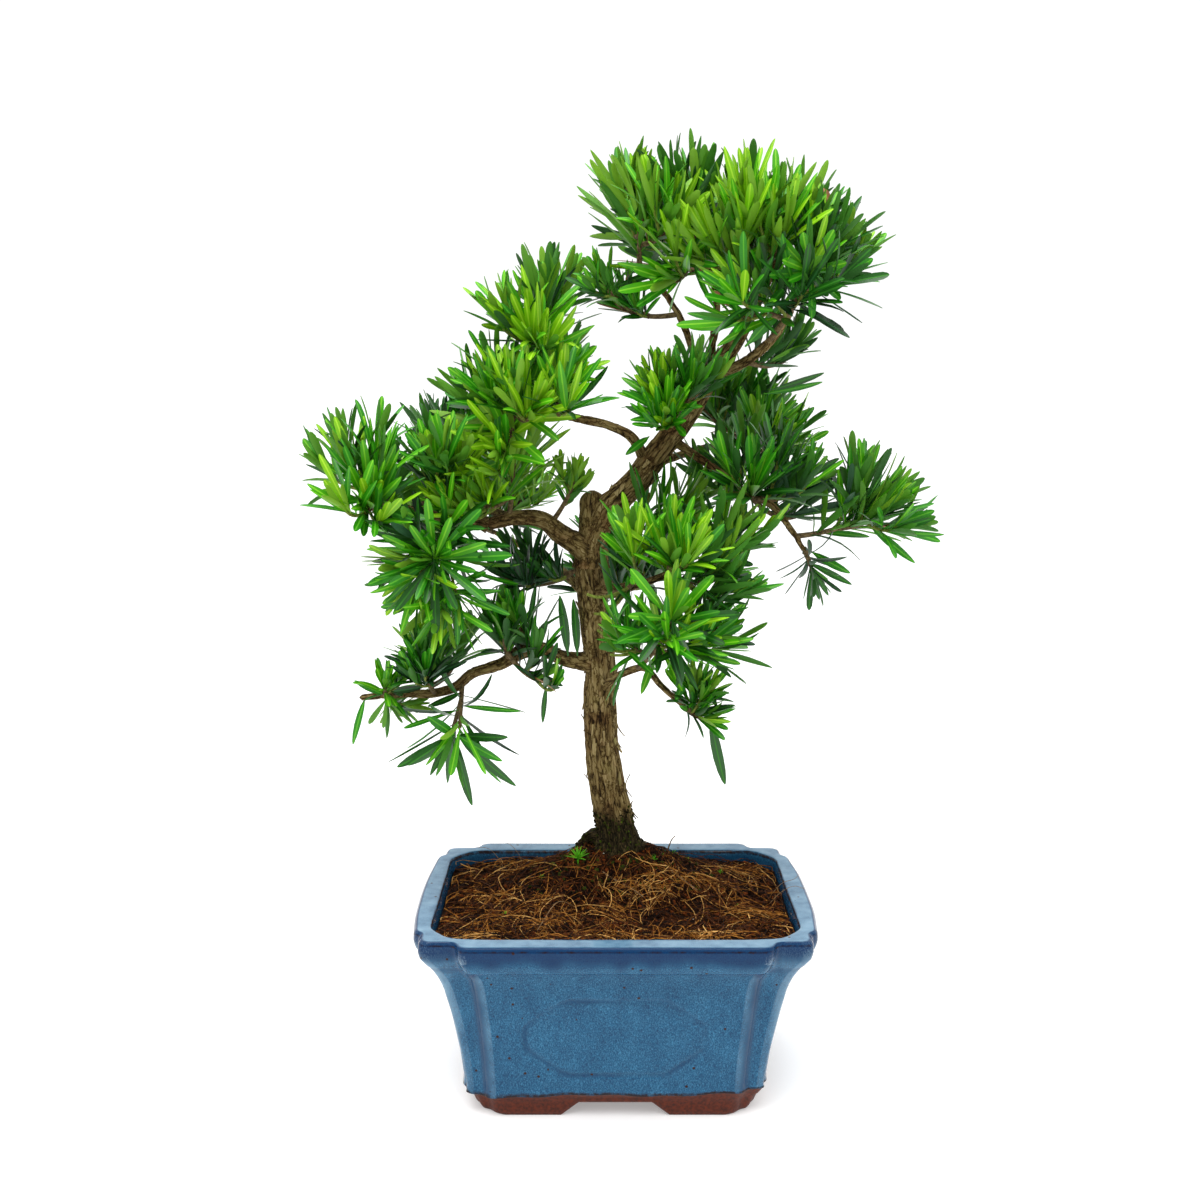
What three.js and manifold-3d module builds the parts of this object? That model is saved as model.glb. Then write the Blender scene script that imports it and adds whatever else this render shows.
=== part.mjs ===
// A podocarpus grown as a bonsai, in a glazed stoneware pot with notched corners and bare clay feet.
// Millimetres, +Z up. The pot's feet stand on z = 0, x runs along the pot's long side, -y is its front.
import * as THREE from 'three';
import { ConvexGeometry } from 'three/addons/geometries/ConvexGeometry.js';
import { mergeVertices } from 'three/addons/utils/BufferGeometryUtils.js';
import Module from 'manifold-3d';

const wasm = await Module();
wasm.setup();
const { Manifold, Mesh: SolidMesh } = wasm;

// Driving dimensions: the pot.
const POT_HEIGHT = 101;
const FOOT_HEIGHT = 10.5; // top of the bare clay, where the glaze ends
const RIM_HALF_WIDTH = 98; // corner blocks, left and right
const RIM_HALF_DEPTH = 78; // front and back lips
const LIP_HALF_LENGTH = 77; // front and back lips, between the notches
const SIDE_LIP_HALF_LENGTH = 55;
const SIDE_LIP_BOW = 7; // how far the side lips bow out past the corner blocks
const LIP_PROUD = 4; // how far a lip stands out past the wall panel under it
const NOTCH_DEPTH = 4; // how far a wall panel stands out past the corner posts
const WALL_LEAN_IN = 24; // how far the corner posts come in from rim to foot
const FRONT_LEAN_SHARE = 0.72; // front and back come in less than the ends do
const PANEL_LEAN_SHARE = 0.4; // how much of the lean the front panel's ends follow
const SIDE_PANEL_LEAN_SHARE = 0.5;
const POST_ROUND = 3; // cut across each corner post's edge
const NOTCH_SLOPE = 2; // a notch's wall slants by this much
const CAVITY_HALF_WIDTH = 94;
const CAVITY_HALF_DEPTH = 65;
const CAVITY_CHAMFER = 17;
const CAVITY_LEAN_IN = 24;
const CAVITY_CHAMFER_SHARE = 0.3; // how much of its lean the hollow's cut corners lose
const CAVITY_FLOOR = 17;
const ARCH_HEIGHT = 7; // opening between two feet
const ARCH_HALF_WIDTH = 28; // front and back, at the ground
const SIDE_ARCH_HALF_WIDTH = 21;
const ARCH_SLOPE = 9; // how far each side of an arch leans in at its top

// Driving dimensions: the soil and the plant.
const SOIL_EDGE = 93; // height of the soil along the walls
const GROUND = 117; // top of the soil's mound, where the trunk is cut flat
const MOUND_WIDTH = 46; // spread of the mound along x, at which two thirds of its height is gone
const MOUND_DEPTH = 32; // the same along y
const MOUND_X = 2;
const MOUND_Y = 24;
const MOUND_REACH = 3; // the mound is drawn out to this many times its spread
const MOUND_OVER = 3; // how far its peak would stand above the trunk's cut
const MOUND_SUNK = 20; // how deep its solid reaches into the fill
const WIDE = 400; // wider than anything here, for the bodies that cut
const TOUCH_GAP = 0.3; // left between pieces that touch
const FLARE_REACH = 13; // how far the root flare spreads past the trunk
const FLARE_HEIGHT = 7;
const FLARE_ROOTS = 5;
const LIMB_STEP = 18; // length of one straight stretch of a limb
const LIMB_SIDES = 6;
const CAP_SIDES = 6;
const TRUNK_RINGS = 22;
const TWIG_STEP = 24;
const TWIG_SIDES = 3;
const TWIG_RADIUS = 1.5;
const TWIG_TIP_RADIUS = 1.3;
const LEAF_LENGTH = 41;
const LEAF_WIDTH = 10;
const LEAF_TIP_WIDTH = 4; // leaves end blunt
const LEAF_THICKNESS = 1.2;
const LEAF_WIDEST = 0.6; // where a leaf is widest, as a share of its length
const LEAF_KEEL = 0.22; // where it is thickest, likewise
const LEAF_SUNK = 0.3; // how far a leaf's root lies past its twig's centre line
const LEAVES_ON_SHOOT = 8;
const LEAFY_LENGTH = 26; // length of a shoot's tip that carries its leaves
const LEAN_OLD = 66; // degrees from the shoot, lowest leaf
const LEAN_YOUNG = 18; // degrees from the shoot, last leaf
const RISE = 0.7; // how strongly a shoot turns up towards the light, unless its mass says otherwise
const SPACE_MARGIN = 0.6; // a mass stays out of a seam this wide along its neighbours' space
// A leaf with no room is tried shorter and closer to its shoot before it is left out: [length, lean].
const LEAF_TRIES = [[1, 1], [0.82, 0.85], [0.66, 0.7]];
const GOLDEN_ANGLE = THREE.MathUtils.degToRad(137.5);

// The trunk's centre line from under the ground to the fork, and the stub of its old leader.
const TRUNK = {
  name: 'trunk',
  radii: [10.8, 7.1, 4.6],
  sides: 10,
  bends: [
    [1, 26, 104], [1, 26, 120], [-2, 25, 140], [-6, 24, 164], [-8, 23, 190], [-8, 22, 222], [-12, 20, 256],
    [-14, 18, 280], [-9, 17, 297], [-2, 16, 309], [11, 15, 322], [21, 14, 335], [37, 11, 357], [51, 8, 381],
  ],
};
const STUB = {
  name: 'stub',
  radii: [6.4, 6, 5.4],
  sides: 7,
  bends: [[-13, 18, 276], [-13, 19, 296], [-13, 20, 316]],
};

// Boughs in the order they grow: each starts inside the limb that carries it, and gives way to earlier ones.
const BOUGHS = [
  { name: 'bough_low_left_inner', radii: [4.2, 3.9, 3.4],
    bends: [[-12, 22, 223], [-27, 18, 226], [-38, 12, 232], [-47, 8, 234]] },
  { name: 'bough_low_left_outer', radii: [3.3, 2.3, 1.5],
    bends: [[-47, 8, 234], [-61, 3, 226], [-75, 0, 222], [-84, -2, 215], [-95, -4, 212], [-111, -6, 212],
      [-134, -10, 211]] },
  { name: 'bough_mid_left', radii: [4.5, 3.6, 2.7],
    bends: [[-14, 18, 286], [-28, 14, 295], [-38, 10, 303], [-50, 6, 305], [-67, 0, 301]] },
  { name: 'bough_far_left', radii: [2.6, 2, 1.4], bends: [[-67, 0, 301], [-95, -8, 307], [-124, -14, 316]] },
  { name: 'bough_mid_left_back', radii: [2.2, 1.8, 1.4],
    bends: [[-56, 4, 304], [-78, 30, 311], [-96, 56, 318]] },
  { name: 'bough_upper_left', radii: [2.7, 2.1, 1.4],
    bends: [[17, 14, 333], [8, 12, 348], [-4, 10, 354], [-25, 4, 357], [-48, -4, 366]] },
  { name: 'bough_upper_left_riser', radii: [1.9, 1.6, 1.3],
    bends: [[-30, 3, 358], [-35, 6, 375], [-39, 8, 391]] },
  { name: 'bough_right', radii: [2.2, 1.8, 1.3],
    bends: [[29, 13, 345], [45, 8, 334], [54, 4, 328], [69, -3, 317], [80, -6, 312], [90, -8, 300],
      [98, -10, 288]] },
  { name: 'bough_top', radii: [4.1, 3.2, 2],
    bends: [[51, 8, 381], [59, 6, 391], [66, 4, 403], [73, 1, 418], [79, -1, 431], [85, 0, 442]] },
  { name: 'bough_top_right', radii: [2.7, 2.3, 1.7],
    bends: [[49, 9, 378], [60, 6, 381], [72, -4, 389], [81, -10, 399], [88, -14, 411]] },
  { name: 'bough_top_centre', radii: [2, 1.7, 1.3],
    bends: [[47, 9, 374], [49, 11, 388], [52, 12, 402], [51, 12, 423], [41, 6, 443]] },
  { name: 'bough_top_left', radii: [1.9, 1.6, 1.3],
    bends: [[41, 10, 363], [42, 8, 380], [34, 4, 405], [24, 1, 420], [12, 0, 433]] },
  { name: 'bough_front', radii: [2.5, 2, 1.6],
    bends: [[-11, 20, 263], [3, -8, 269], [17, -25, 275], [26, -33, 280]] },
  { name: 'bough_front_low', radii: [2.3, 1.8, 1.3],
    bends: [[-8, 22, 208], [4, -2, 222], [16, -12, 227], [23, -18, 220], [35, -24, 210]] },
  { name: 'bough_back_low', radii: [2.4, 1.9, 1.5], bends: [[-9, 22, 234], [-2, 60, 245], [7, 84, 252]] },
  { name: 'bough_back_left', radii: [2.5, 2, 1.4],
    bends: [[-12, 20, 256], [-30, 55, 269], [-54, 80, 280], [-70, 92, 286]] },
  { name: 'bough_back_right', radii: [2.3, 1.8, 1.4], bends: [[19, 14, 331], [47, 50, 337], [68, 76, 340]] },
  { name: 'bough_back_top', radii: [2.2, 1.8, 1.4], bends: [[45, 10, 370], [53, 45, 396], [57, 66, 420]] },
];

// Masses of foliage: the limb each grows from, how far along it, and where its main shoots end. size is the
// scale of its leaves, and rise how strongly its shoots turn up.
const MASSES = [
  { name: 'foliage_far_left', on: 'bough_far_left', at: 1,
    tips: [[-126, -18, 330], [-126, -36, 314], [-123, 4, 304]] },
  { name: 'foliage_left_tall', on: 'bough_far_left', at: 0.6,
    tips: [[-98, -22, 336], [-110, 16, 320], [-82, -26, 330]] },
  { name: 'foliage_left_star', on: 'bough_far_left', at: 0.25, rise: 0.2,
    tips: [[-91, -36, 290], [-98, -16, 268], [-106, -30, 288]] },
  { name: 'foliage_left_back', on: 'bough_mid_left_back', at: 1,
    tips: [[-107, 75, 335], [-118, 52, 320], [-88, 24, 344]] },
  { name: 'foliage_left_inner', on: 'bough_mid_left', at: 0.8,
    tips: [[-52, -4, 336], [-64, 14, 340], [-67, -22, 314]] },
  { name: 'foliage_mid_sprig', on: 'bough_mid_left', at: 0.42, tips: [[-23, 10, 317]] },
  { name: 'foliage_under_mid', on: 'trunk', at: 0.6, tips: [[-42, 20, 268], [-52, 40, 280], [-66, 8, 272]] },
  { name: 'foliage_low_near', on: 'bough_low_left_inner', at: 0.7, tips: [[-38, -4, 246]] },
  { name: 'foliage_low_inner', on: 'bough_low_left_outer', at: 0.12,
    tips: [[-58, -8, 242], [-48, -14, 216]] },
  { name: 'foliage_low_hang', on: 'bough_low_left_outer', at: 0.42, rise: 0,
    tips: [[-82, -20, 200], [-90, -8, 192]] },
  { name: 'foliage_low_mid', on: 'bough_low_left_outer', at: 0.58,
    tips: [[-98, -24, 232], [-96, 2, 237], [-84, 32, 234]] },
  { name: 'foliage_low_end', on: 'bough_low_left_outer', at: 0.86, size: 0.75, rise: 0.4,
    tips: [[-112, -20, 220], [-122, -4, 214]] },
  { name: 'foliage_upper_left_tall', on: 'bough_upper_left_riser', at: 1,
    tips: [[-42, 6, 413], [-50, -14, 394]] },
  { name: 'foliage_upper_left_right', on: 'bough_upper_left_riser', at: 0.55,
    tips: [[-31, -10, 397], [-24, 36, 392], [-46, 46, 378]] },
  { name: 'foliage_upper_left_low', on: 'bough_upper_left', at: 1,
    tips: [[-58, -10, 370], [-62, 4, 352], [-44, -34, 362], [-58, -24, 344]] },
  { name: 'foliage_upper_left_front', on: 'bough_upper_left', at: 0.72, tips: [[-29, -26, 365]] },
  { name: 'foliage_upper_join', on: 'bough_top_left', at: 0.6, tips: [[2, -4, 410], [-8, -10, 428]] },
  { name: 'foliage_leader_sprig', on: 'trunk', at: 0.93,
    tips: [[22, -12, 374], [30, -22, 366], [46, -24, 372]] },
  { name: 'foliage_top_left', on: 'bough_top_left', at: 1,
    tips: [[4, 2, 458], [26, -14, 452], [-5, 10, 447]] },
  { name: 'foliage_top_peak', on: 'bough_top_centre', at: 1, tips: [[39, 4, 460], [25, 16, 449]] },
  { name: 'foliage_top_front', on: 'bough_top', at: 0.6,
    tips: [[66, -24, 450], [80, -34, 443], [50, -22, 436]] },
  { name: 'foliage_top_high', on: 'bough_top', at: 1, tips: [[93, 4, 455], [86, 30, 454], [62, 26, 462]] },
  { name: 'foliage_top_right_mid', on: 'bough_top_right', at: 0.86, tips: [[95, -28, 441], [104, -12, 432]] },
  { name: 'foliage_top_right', on: 'bough_top_right', at: 1, tips: [[106, -4, 440], [108, 16, 428]] },
  { name: 'foliage_top_star', on: 'bough_top_right', at: 0.62, rise: 0.3,
    tips: [[88, -42, 424], [64, -34, 414]] },
  { name: 'foliage_under_top', on: 'bough_top_right', at: 0.36, tips: [[82, -16, 388], [90, 10, 393]] },
  { name: 'foliage_top_back', on: 'bough_back_top', at: 1,
    tips: [[57, 86, 450], [36, 74, 440], [80, 72, 446]] },
  { name: 'foliage_right_up', on: 'bough_right', at: 0.55,
    tips: [[71, -12, 330], [62, 10, 340], [92, -4, 332], [104, 4, 319]] },
  { name: 'foliage_far_right', on: 'bough_right', at: 0.9, rise: 0.35,
    tips: [[130, 4, 307], [124, -16, 312]] },
  { name: 'foliage_right_hang', on: 'bough_right', at: 1, size: 0.6, rise: 0, tips: [[101, -16, 279]] },
  { name: 'foliage_fork', on: 'trunk', at: 0.66, tips: [[34, 2, 307]] },
  { name: 'foliage_front_top', on: 'bough_front', at: 0.75, tips: [[10, -30, 289], [-1, -16, 268]] },
  { name: 'foliage_front_centre', on: 'bough_front', at: 1,
    tips: [[26, -45, 287], [42, -38, 277], [62, -24, 295]] },
  { name: 'foliage_front_star', on: 'bough_front_low', at: 0.55, rise: 0.3,
    tips: [[28, -54, 254], [6, -30, 244], [48, -32, 246]] },
  { name: 'foliage_front_end', on: 'bough_front_low', at: 1, size: 0.6, rise: 0, tips: [[46, -34, 206]] },
  { name: 'foliage_back_low', on: 'bough_back_low', at: 1, tips: [[13, 104, 257], [-10, 100, 248]] },
  { name: 'foliage_back_left', on: 'bough_back_left', at: 1, tips: [[-84, 110, 295], [-60, 104, 300]] },
  { name: 'foliage_back_right', on: 'bough_back_right', at: 1,
    tips: [[84, 96, 349], [64, 92, 353], [88, 66, 336]] },
];

const UP = new THREE.Vector3(0, 0, 1);
const CYLINDER_AXIS = new THREE.Vector3(0, 1, 0);

// A closed geometry as a solid that can be joined and cut.
function toSolid(geometry) {
  const bare = geometry.clone();
  bare.deleteAttribute('normal');
  bare.deleteAttribute('uv');
  const welded = mergeVertices(bare, 1e-4);
  return new Manifold(new SolidMesh({
    numProp: 3,
    vertProperties: new Float32Array(welded.attributes.position.array),
    triVerts: new Uint32Array(welded.index.array),
  }));
}

// And back, with its normals.
function toGeometry(solid) {
  const mesh = solid.getMesh();
  const geometry = new THREE.BufferGeometry();
  geometry.setAttribute('position', new THREE.BufferAttribute(new Float32Array(mesh.vertProperties), 3));
  geometry.setIndex(new THREE.BufferAttribute(new Uint32Array(mesh.triVerts), 1));
  geometry.computeVertexNormals();
  return geometry;
}

// The largest body of a cut or joined solid: loose scraps are left behind.
function mainBody(solid) {
  return solid.decompose().reduce((best, body) => (body.volume() > best.volume() ? body : best));
}

// A seeded source of numbers from 0 to 1, so that the plant grows the same way each time.
function seededRandom(seed) {
  let state = seed >>> 0;
  return () => {
    state = (state + 0x6d2b79f5) >>> 0;
    let mixed = Math.imul(state ^ (state >>> 15), state | 1);
    mixed ^= mixed + Math.imul(mixed ^ (mixed >>> 7), mixed | 61);
    return ((mixed ^ (mixed >>> 14)) >>> 0) / 4294967296;
  };
}

// A closed rod along a curve. radiusAt takes the share of the length and the angle round the section.
function rodGeometry(curve, radiusAt, sides, rings) {
  const geometry = new THREE.CylinderGeometry(1, 1, 1, sides, rings);
  const frames = curve.computeFrenetFrames(rings, false);
  const position = geometry.attributes.position;
  const point = new THREE.Vector3();
  for (let i = 0; i < position.count; i += 1) {
    point.fromBufferAttribute(position, i);
    const ring = Math.round((point.y + 0.5) * rings);
    const share = ring / rings;
    const radius = radiusAt(share, Math.atan2(point.z, point.x));
    const centre = curve.getPointAt(share);
    centre.addScaledVector(frames.normals[ring], point.x * radius);
    centre.addScaledVector(frames.binormals[ring], -point.z * radius);
    position.setXYZ(i, centre.x, centre.y, centre.z);
  }
  return geometry;
}

// A radius that goes through three values: at the foot, at 0.6 of the length and at the tip.
function taper([foot, middle, tip], share) {
  const bend = 0.6;
  return share < bend
    ? THREE.MathUtils.lerp(foot, middle, share / bend)
    : THREE.MathUtils.lerp(middle, tip, (share - bend) / (1 - bend));
}

function limbCurve(limb) {
  return new THREE.CatmullRomCurve3(limb.bends.map((bend) => new THREE.Vector3(...bend)));
}

// A limb, or with extra > 0 a copy that is fatter by that much all round and past its ends.
function limbSolid(limb, extra = 0) {
  const curve = limbCurve(limb);
  const rings = Math.max(2, Math.round(curve.getLength() / LIMB_STEP));
  const radiusAt = (share) => taper(limb.radii, share) + extra;
  const body = toSolid(rodGeometry(curve, radiusAt, limb.sides ?? LIMB_SIDES, rings));
  if (extra === 0) {
    return body;
  }
  const caps = [0, 1].map((end) => {
    const cap = new THREE.CylinderGeometry(radiusAt(end), radiusAt(end), 2 * extra, CAP_SIDES);
    const turn = new THREE.Quaternion().setFromUnitVectors(CYLINDER_AXIS, curve.getTangentAt(end));
    cap.applyQuaternion(turn);
    cap.translate(...curve.getPointAt(end).toArray());
    return toSolid(cap);
  });
  return Manifold.union([body, ...caps]);
}

// The root flare: the trunk's foot spreads into a ring of roots as it nears the ground.
function flare(height, angle) {
  const roots = Math.abs(Math.cos((FLARE_ROOTS / 2) * angle + 0.4));
  return FLARE_REACH * Math.exp(-Math.max(0, height) / FLARE_HEIGHT) * (0.3 + 0.7 * roots);
}

// The trunk with its flare and its old leader's stub, cut flat at the ground.
function trunkSolid(extra = 0) {
  const curve = limbCurve(TRUNK);
  const radiusAt = (share, angle) => {
    const height = curve.getPointAt(share).z - GROUND;
    return taper(TRUNK.radii, share) + flare(height, angle) + extra;
  };
  const stem = toSolid(rodGeometry(curve, radiusAt, TRUNK.sides, TRUNK_RINGS));
  const ground = new THREE.BoxGeometry(WIDE, WIDE, GROUND);
  ground.translate(0, 0, GROUND / 2);
  return stem.add(limbSolid(STUB, extra)).subtract(toSolid(ground));
}

// One level of the pot: a rectangle whose corners are notched, with panels standing out between the notches.
function potOutline({ leanIn, lip }) {
  const postX = RIM_HALF_WIDTH - leanIn;
  const panelY = RIM_HALF_DEPTH - LIP_PROUD * (1 - lip) - FRONT_LEAN_SHARE * leanIn;
  const postY = panelY - NOTCH_DEPTH * (1 + lip);
  const panelHalfX = LIP_HALF_LENGTH - POST_ROUND * (1 - lip) - PANEL_LEAN_SHARE * leanIn;
  const panelHalfY = SIDE_LIP_HALF_LENGTH - SIDE_PANEL_LEAN_SHARE * leanIn;
  const bow = THREE.MathUtils.lerp(NOTCH_DEPTH, SIDE_LIP_BOW, lip);
  const quarter = [
    [panelHalfX, -panelY],
    [panelHalfX + NOTCH_SLOPE, -postY],
    [postX - POST_ROUND, -postY],
    [postX, -postY + POST_ROUND],
    [postX, -panelHalfY - NOTCH_SLOPE],
    [postX + 0.55 * bow, -panelHalfY],
    [postX + 0.9 * bow, -0.5 * panelHalfY],
  ];
  const right = [...quarter, [postX + bow, 0], ...quarter.map(([x, y]) => [x, -y]).reverse()];
  return [...right, ...right.map(([x, y]) => [-x, -y])];
}

// The pot's hollow at one level: a rectangle with cut corners.
function cavityOutline({ leanIn }) {
  const halfX = CAVITY_HALF_WIDTH - leanIn;
  const halfY = CAVITY_HALF_DEPTH - FRONT_LEAN_SHARE * leanIn;
  const cut = CAVITY_CHAMFER - CAVITY_CHAMFER_SHARE * leanIn;
  const right = [[halfX - cut, -halfY], [halfX, -halfY + cut], [halfX, halfY - cut], [halfX - cut, halfY]];
  return [...right, ...right.map(([x, y]) => [-x, -y])];
}

// A body that follows its outline from level to level, made by moving an extruded shape's points.
function stackGeometry(outlineAt, levels) {
  const base = outlineAt(levels[0]);
  const shape = new THREE.Shape(base.map(([x, y]) => new THREE.Vector2(x, y)));
  const steps = levels.length - 1;
  const geometry = new THREE.ExtrudeGeometry(shape, { depth: steps, steps, bevelEnabled: false });
  const outlines = levels.map(outlineAt);
  const position = geometry.attributes.position;
  for (let i = 0; i < position.count; i += 1) {
    const corner = base.findIndex(([x, y]) => Math.hypot(x - position.getX(i), y - position.getY(i)) < 1e-3);
    const level = Math.round(position.getZ(i));
    const [x, y] = outlines[level][corner];
    position.setXYZ(i, x, y, levels[level].z);
  }
  return geometry;
}

// The pot's profile from the ground to the rim: [height, lean in of the posts, share of the lip].
function potLevels() {
  const wall = [[31, 19.3, 0], [52, 15.4, 0], [67, 12, 0], [76, 9.5, 0], [83, 6, 0]];
  const lip = [[85.5, 3.6, 0.75], [88, 2, 1], [92, 0.6, 1], [POT_HEIGHT - 1.5, 0, 1], [POT_HEIGHT, 1, 1]];
  const profile = [[0, WALL_LEAN_IN + 2, 0], [FOOT_HEIGHT, WALL_LEAN_IN, 0], ...wall, ...lip];
  return profile.map(([z, leanIn, lip]) => ({ z, leanIn, lip }));
}

// The arch between two feet, right through the pot along y, or along x when turned.
function archGeometry(halfWidth, turned) {
  const below = 1;
  const arch = new THREE.Shape();
  arch.moveTo(-halfWidth - below, -below);
  arch.lineTo(halfWidth + below, -below);
  arch.lineTo(halfWidth - ARCH_SLOPE, ARCH_HEIGHT);
  arch.lineTo(-halfWidth + ARCH_SLOPE, ARCH_HEIGHT);
  arch.closePath();
  const geometry = new THREE.ExtrudeGeometry(arch, { depth: WIDE, bevelEnabled: false });
  geometry.translate(0, 0, -WIDE / 2);
  geometry.rotateX(Math.PI / 2);
  geometry.rotateZ(turned ? Math.PI / 2 : 0);
  return geometry;
}

// The pot's hollow up to a height, or with shrink > 0 a copy that is smaller by that much all round.
function cavitySolid(top, shrink) {
  const levels = [
    { z: CAVITY_FLOOR + shrink, leanIn: CAVITY_LEAN_IN + shrink },
    { z: 60, leanIn: 0.45 * CAVITY_LEAN_IN + shrink },
    { z: POT_HEIGHT - 14, leanIn: 2 + shrink },
    { z: top, leanIn: shrink },
  ];
  return toSolid(stackGeometry(cavityOutline, levels));
}

function potSolid() {
  return toSolid(stackGeometry(potOutline, potLevels()))
    .subtract(cavitySolid(POT_HEIGHT + 1, 0))
    .subtract(toSolid(archGeometry(ARCH_HALF_WIDTH, false)))
    .subtract(toSolid(archGeometry(SIDE_ARCH_HALF_WIDTH, true)));
}

// The soil fills the pot and rises to a mound round the trunk, with a flat seat under the trunk's cut.
function soilSolid() {
  const rings = 6;
  const profile = [new THREE.Vector2(0, -MOUND_SUNK), new THREE.Vector2(MOUND_REACH, -MOUND_SUNK)];
  for (let i = rings; i >= 0; i -= 1) {
    const radius = (MOUND_REACH * i) / rings;
    profile.push(new THREE.Vector2(radius, (GROUND - SOIL_EDGE + MOUND_OVER) * Math.exp(-radius * radius)));
  }
  const mound = new THREE.LatheGeometry(profile, 14);
  mound.rotateX(Math.PI / 2);
  mound.scale(MOUND_WIDTH, MOUND_DEPTH, 1);
  mound.translate(MOUND_X, MOUND_Y, SOIL_EDGE);
  const fill = new THREE.BoxGeometry(WIDE, WIDE, SOIL_EDGE);
  fill.translate(0, 0, SOIL_EDGE / 2);
  const above = new THREE.BoxGeometry(WIDE, WIDE, GROUND);
  above.translate(0, 0, GROUND - TOUCH_GAP + GROUND / 2);
  return toSolid(fill)
    .add(toSolid(mound))
    .intersect(cavitySolid(2 * POT_HEIGHT, TOUCH_GAP))
    .subtract(toSolid(above));
}

// One leaf, along +x from its root: a flat strap with a blunt tip and a keel that is thickest near the root.
function leafTemplate() {
  const half = LEAF_WIDTH / 2;
  const tipHalf = LEAF_TIP_WIDTH / 2;
  const corners = [
    [0, 0, 0], [LEAF_KEEL, 0, LEAF_THICKNESS], [LEAF_WIDEST, -half, 0], [LEAF_WIDEST, half, 0],
    [1, -tipHalf, 0], [1, tipHalf, 0],
  ];
  return toSolid(new ConvexGeometry(corners.map((corner) => new THREE.Vector3(...corner))));
}
const LEAF = leafTemplate();

// A leaf in its place: the solid's matrix, and the lines from root to tip that its clearance is tested on.
function placeLeaf(root, direction, shoot, length, width) {
  const across = new THREE.Vector3().crossVectors(shoot, direction).normalize();
  const face = new THREE.Vector3().crossVectors(direction, across).normalize();
  const matrix = new THREE.Matrix4().makeBasis(direction, across, face).setPosition(root);
  matrix.scale(new THREE.Vector3(length, width / LEAF_WIDTH, 1));
  const widest = root.clone().addScaledVector(direction, length * LEAF_WIDEST);
  const end = root.clone().addScaledVector(direction, length);
  const lines = [-1, -0.5, 0, 0.5, 1].flatMap((side) => {
    const edge = widest.clone().addScaledVector(across, (side * width) / 2);
    const tip = end.clone().addScaledVector(across, (side * width * LEAF_TIP_WIDTH) / LEAF_WIDTH / 2);
    return [[root, edge], [edge, tip]];
  });
  return { matrix, lines };
}

// Shortest distance between two segments, from points spaced along the first.
function segmentGap([a, b], line) {
  const spots = 6;
  const at = new THREE.Vector3();
  const near = new THREE.Vector3();
  let least = Infinity;
  for (let i = 0; i <= spots; i += 1) {
    at.lerpVectors(a, b, i / spots);
    line.closestPointToPoint(at, true, near);
    least = Math.min(least, at.distanceTo(near));
  }
  return least;
}

// The path of a shoot: it sets off sideways and bends up towards the light before its end.
function shootPath(foot, tip, rise) {
  const reach = tip.clone().sub(foot);
  const heading = reach.clone().normalize().addScaledVector(UP, rise).normalize();
  const turn = tip.clone().addScaledVector(heading, -0.45 * reach.length());
  return { curve: new THREE.QuadraticBezierCurve3(foot, turn, tip), heading };
}

// The shoots of a mass: the first is its stem, and the others branch from the stem's lower half.
function massShoots(mass, limbs, random) {
  const { tips, size = 1, rise = RISE } = mass;
  const carrier = limbCurve(limbs.find((limb) => limb.name === mass.on));
  const [stemTip, ...others] = tips.map((tip) => new THREE.Vector3(...tip));
  const stem = shootPath(carrier.getPointAt(mass.at), stemTip, rise);
  const branches = others.map((tip) => shootPath(stem.curve.getPoint(0.25 + 0.25 * random()), tip, rise));
  return [stem, ...branches].map((shoot) => ({ ...shoot, size }));
}

// What a mass calls its own space: all that lies nearer to its shoots than to any other mass's.
function shootAxes({ curve, heading, size }) {
  const points = curve.getPoints(3);
  points.push(points[3].clone().addScaledVector(heading, 0.5 * LEAF_LENGTH * size));
  return points.slice(1).map((point, i) => new THREE.Line3(points[i], point));
}

function distanceToAxes(point, axes) {
  const near = new THREE.Vector3();
  return Math.min(...axes.map((axis) => axis.closestPointToPoint(point, true, near).distanceTo(point)));
}

// Whether points lie nearer to a shoot than to its sister shoots and, by a margin, to all other masses.
function keepsToSpace(points, own, sisters, others) {
  return points.every((point) => {
    const mine = distanceToAxes(point, own);
    return sisters.every((axes) => distanceToAxes(point, axes) > mine)
      && others.every((axes) => distanceToAxes(point, axes) > mine + SPACE_MARGIN);
  });
}

function clearOfLimbs(lines, limbLines) {
  const clear = ({ line, radius }) => lines.every((pair) => segmentGap(pair, line) > radius + 2 * TOUCH_GAP);
  return limbLines.every(clear);
}

// A limb as straight stretches with their radii, for clearance.
function limbStretches(limb) {
  const stretches = 10;
  const points = limbCurve(limb).getSpacedPoints(stretches);
  return points.slice(1).map((point, i) => {
    const spread = limb === TRUNK ? flare(point.z - GROUND, 0) : 0;
    return { line: new THREE.Line3(points[i], point), radius: taper(limb.radii, i / stretches) + spread };
  });
}

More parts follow.
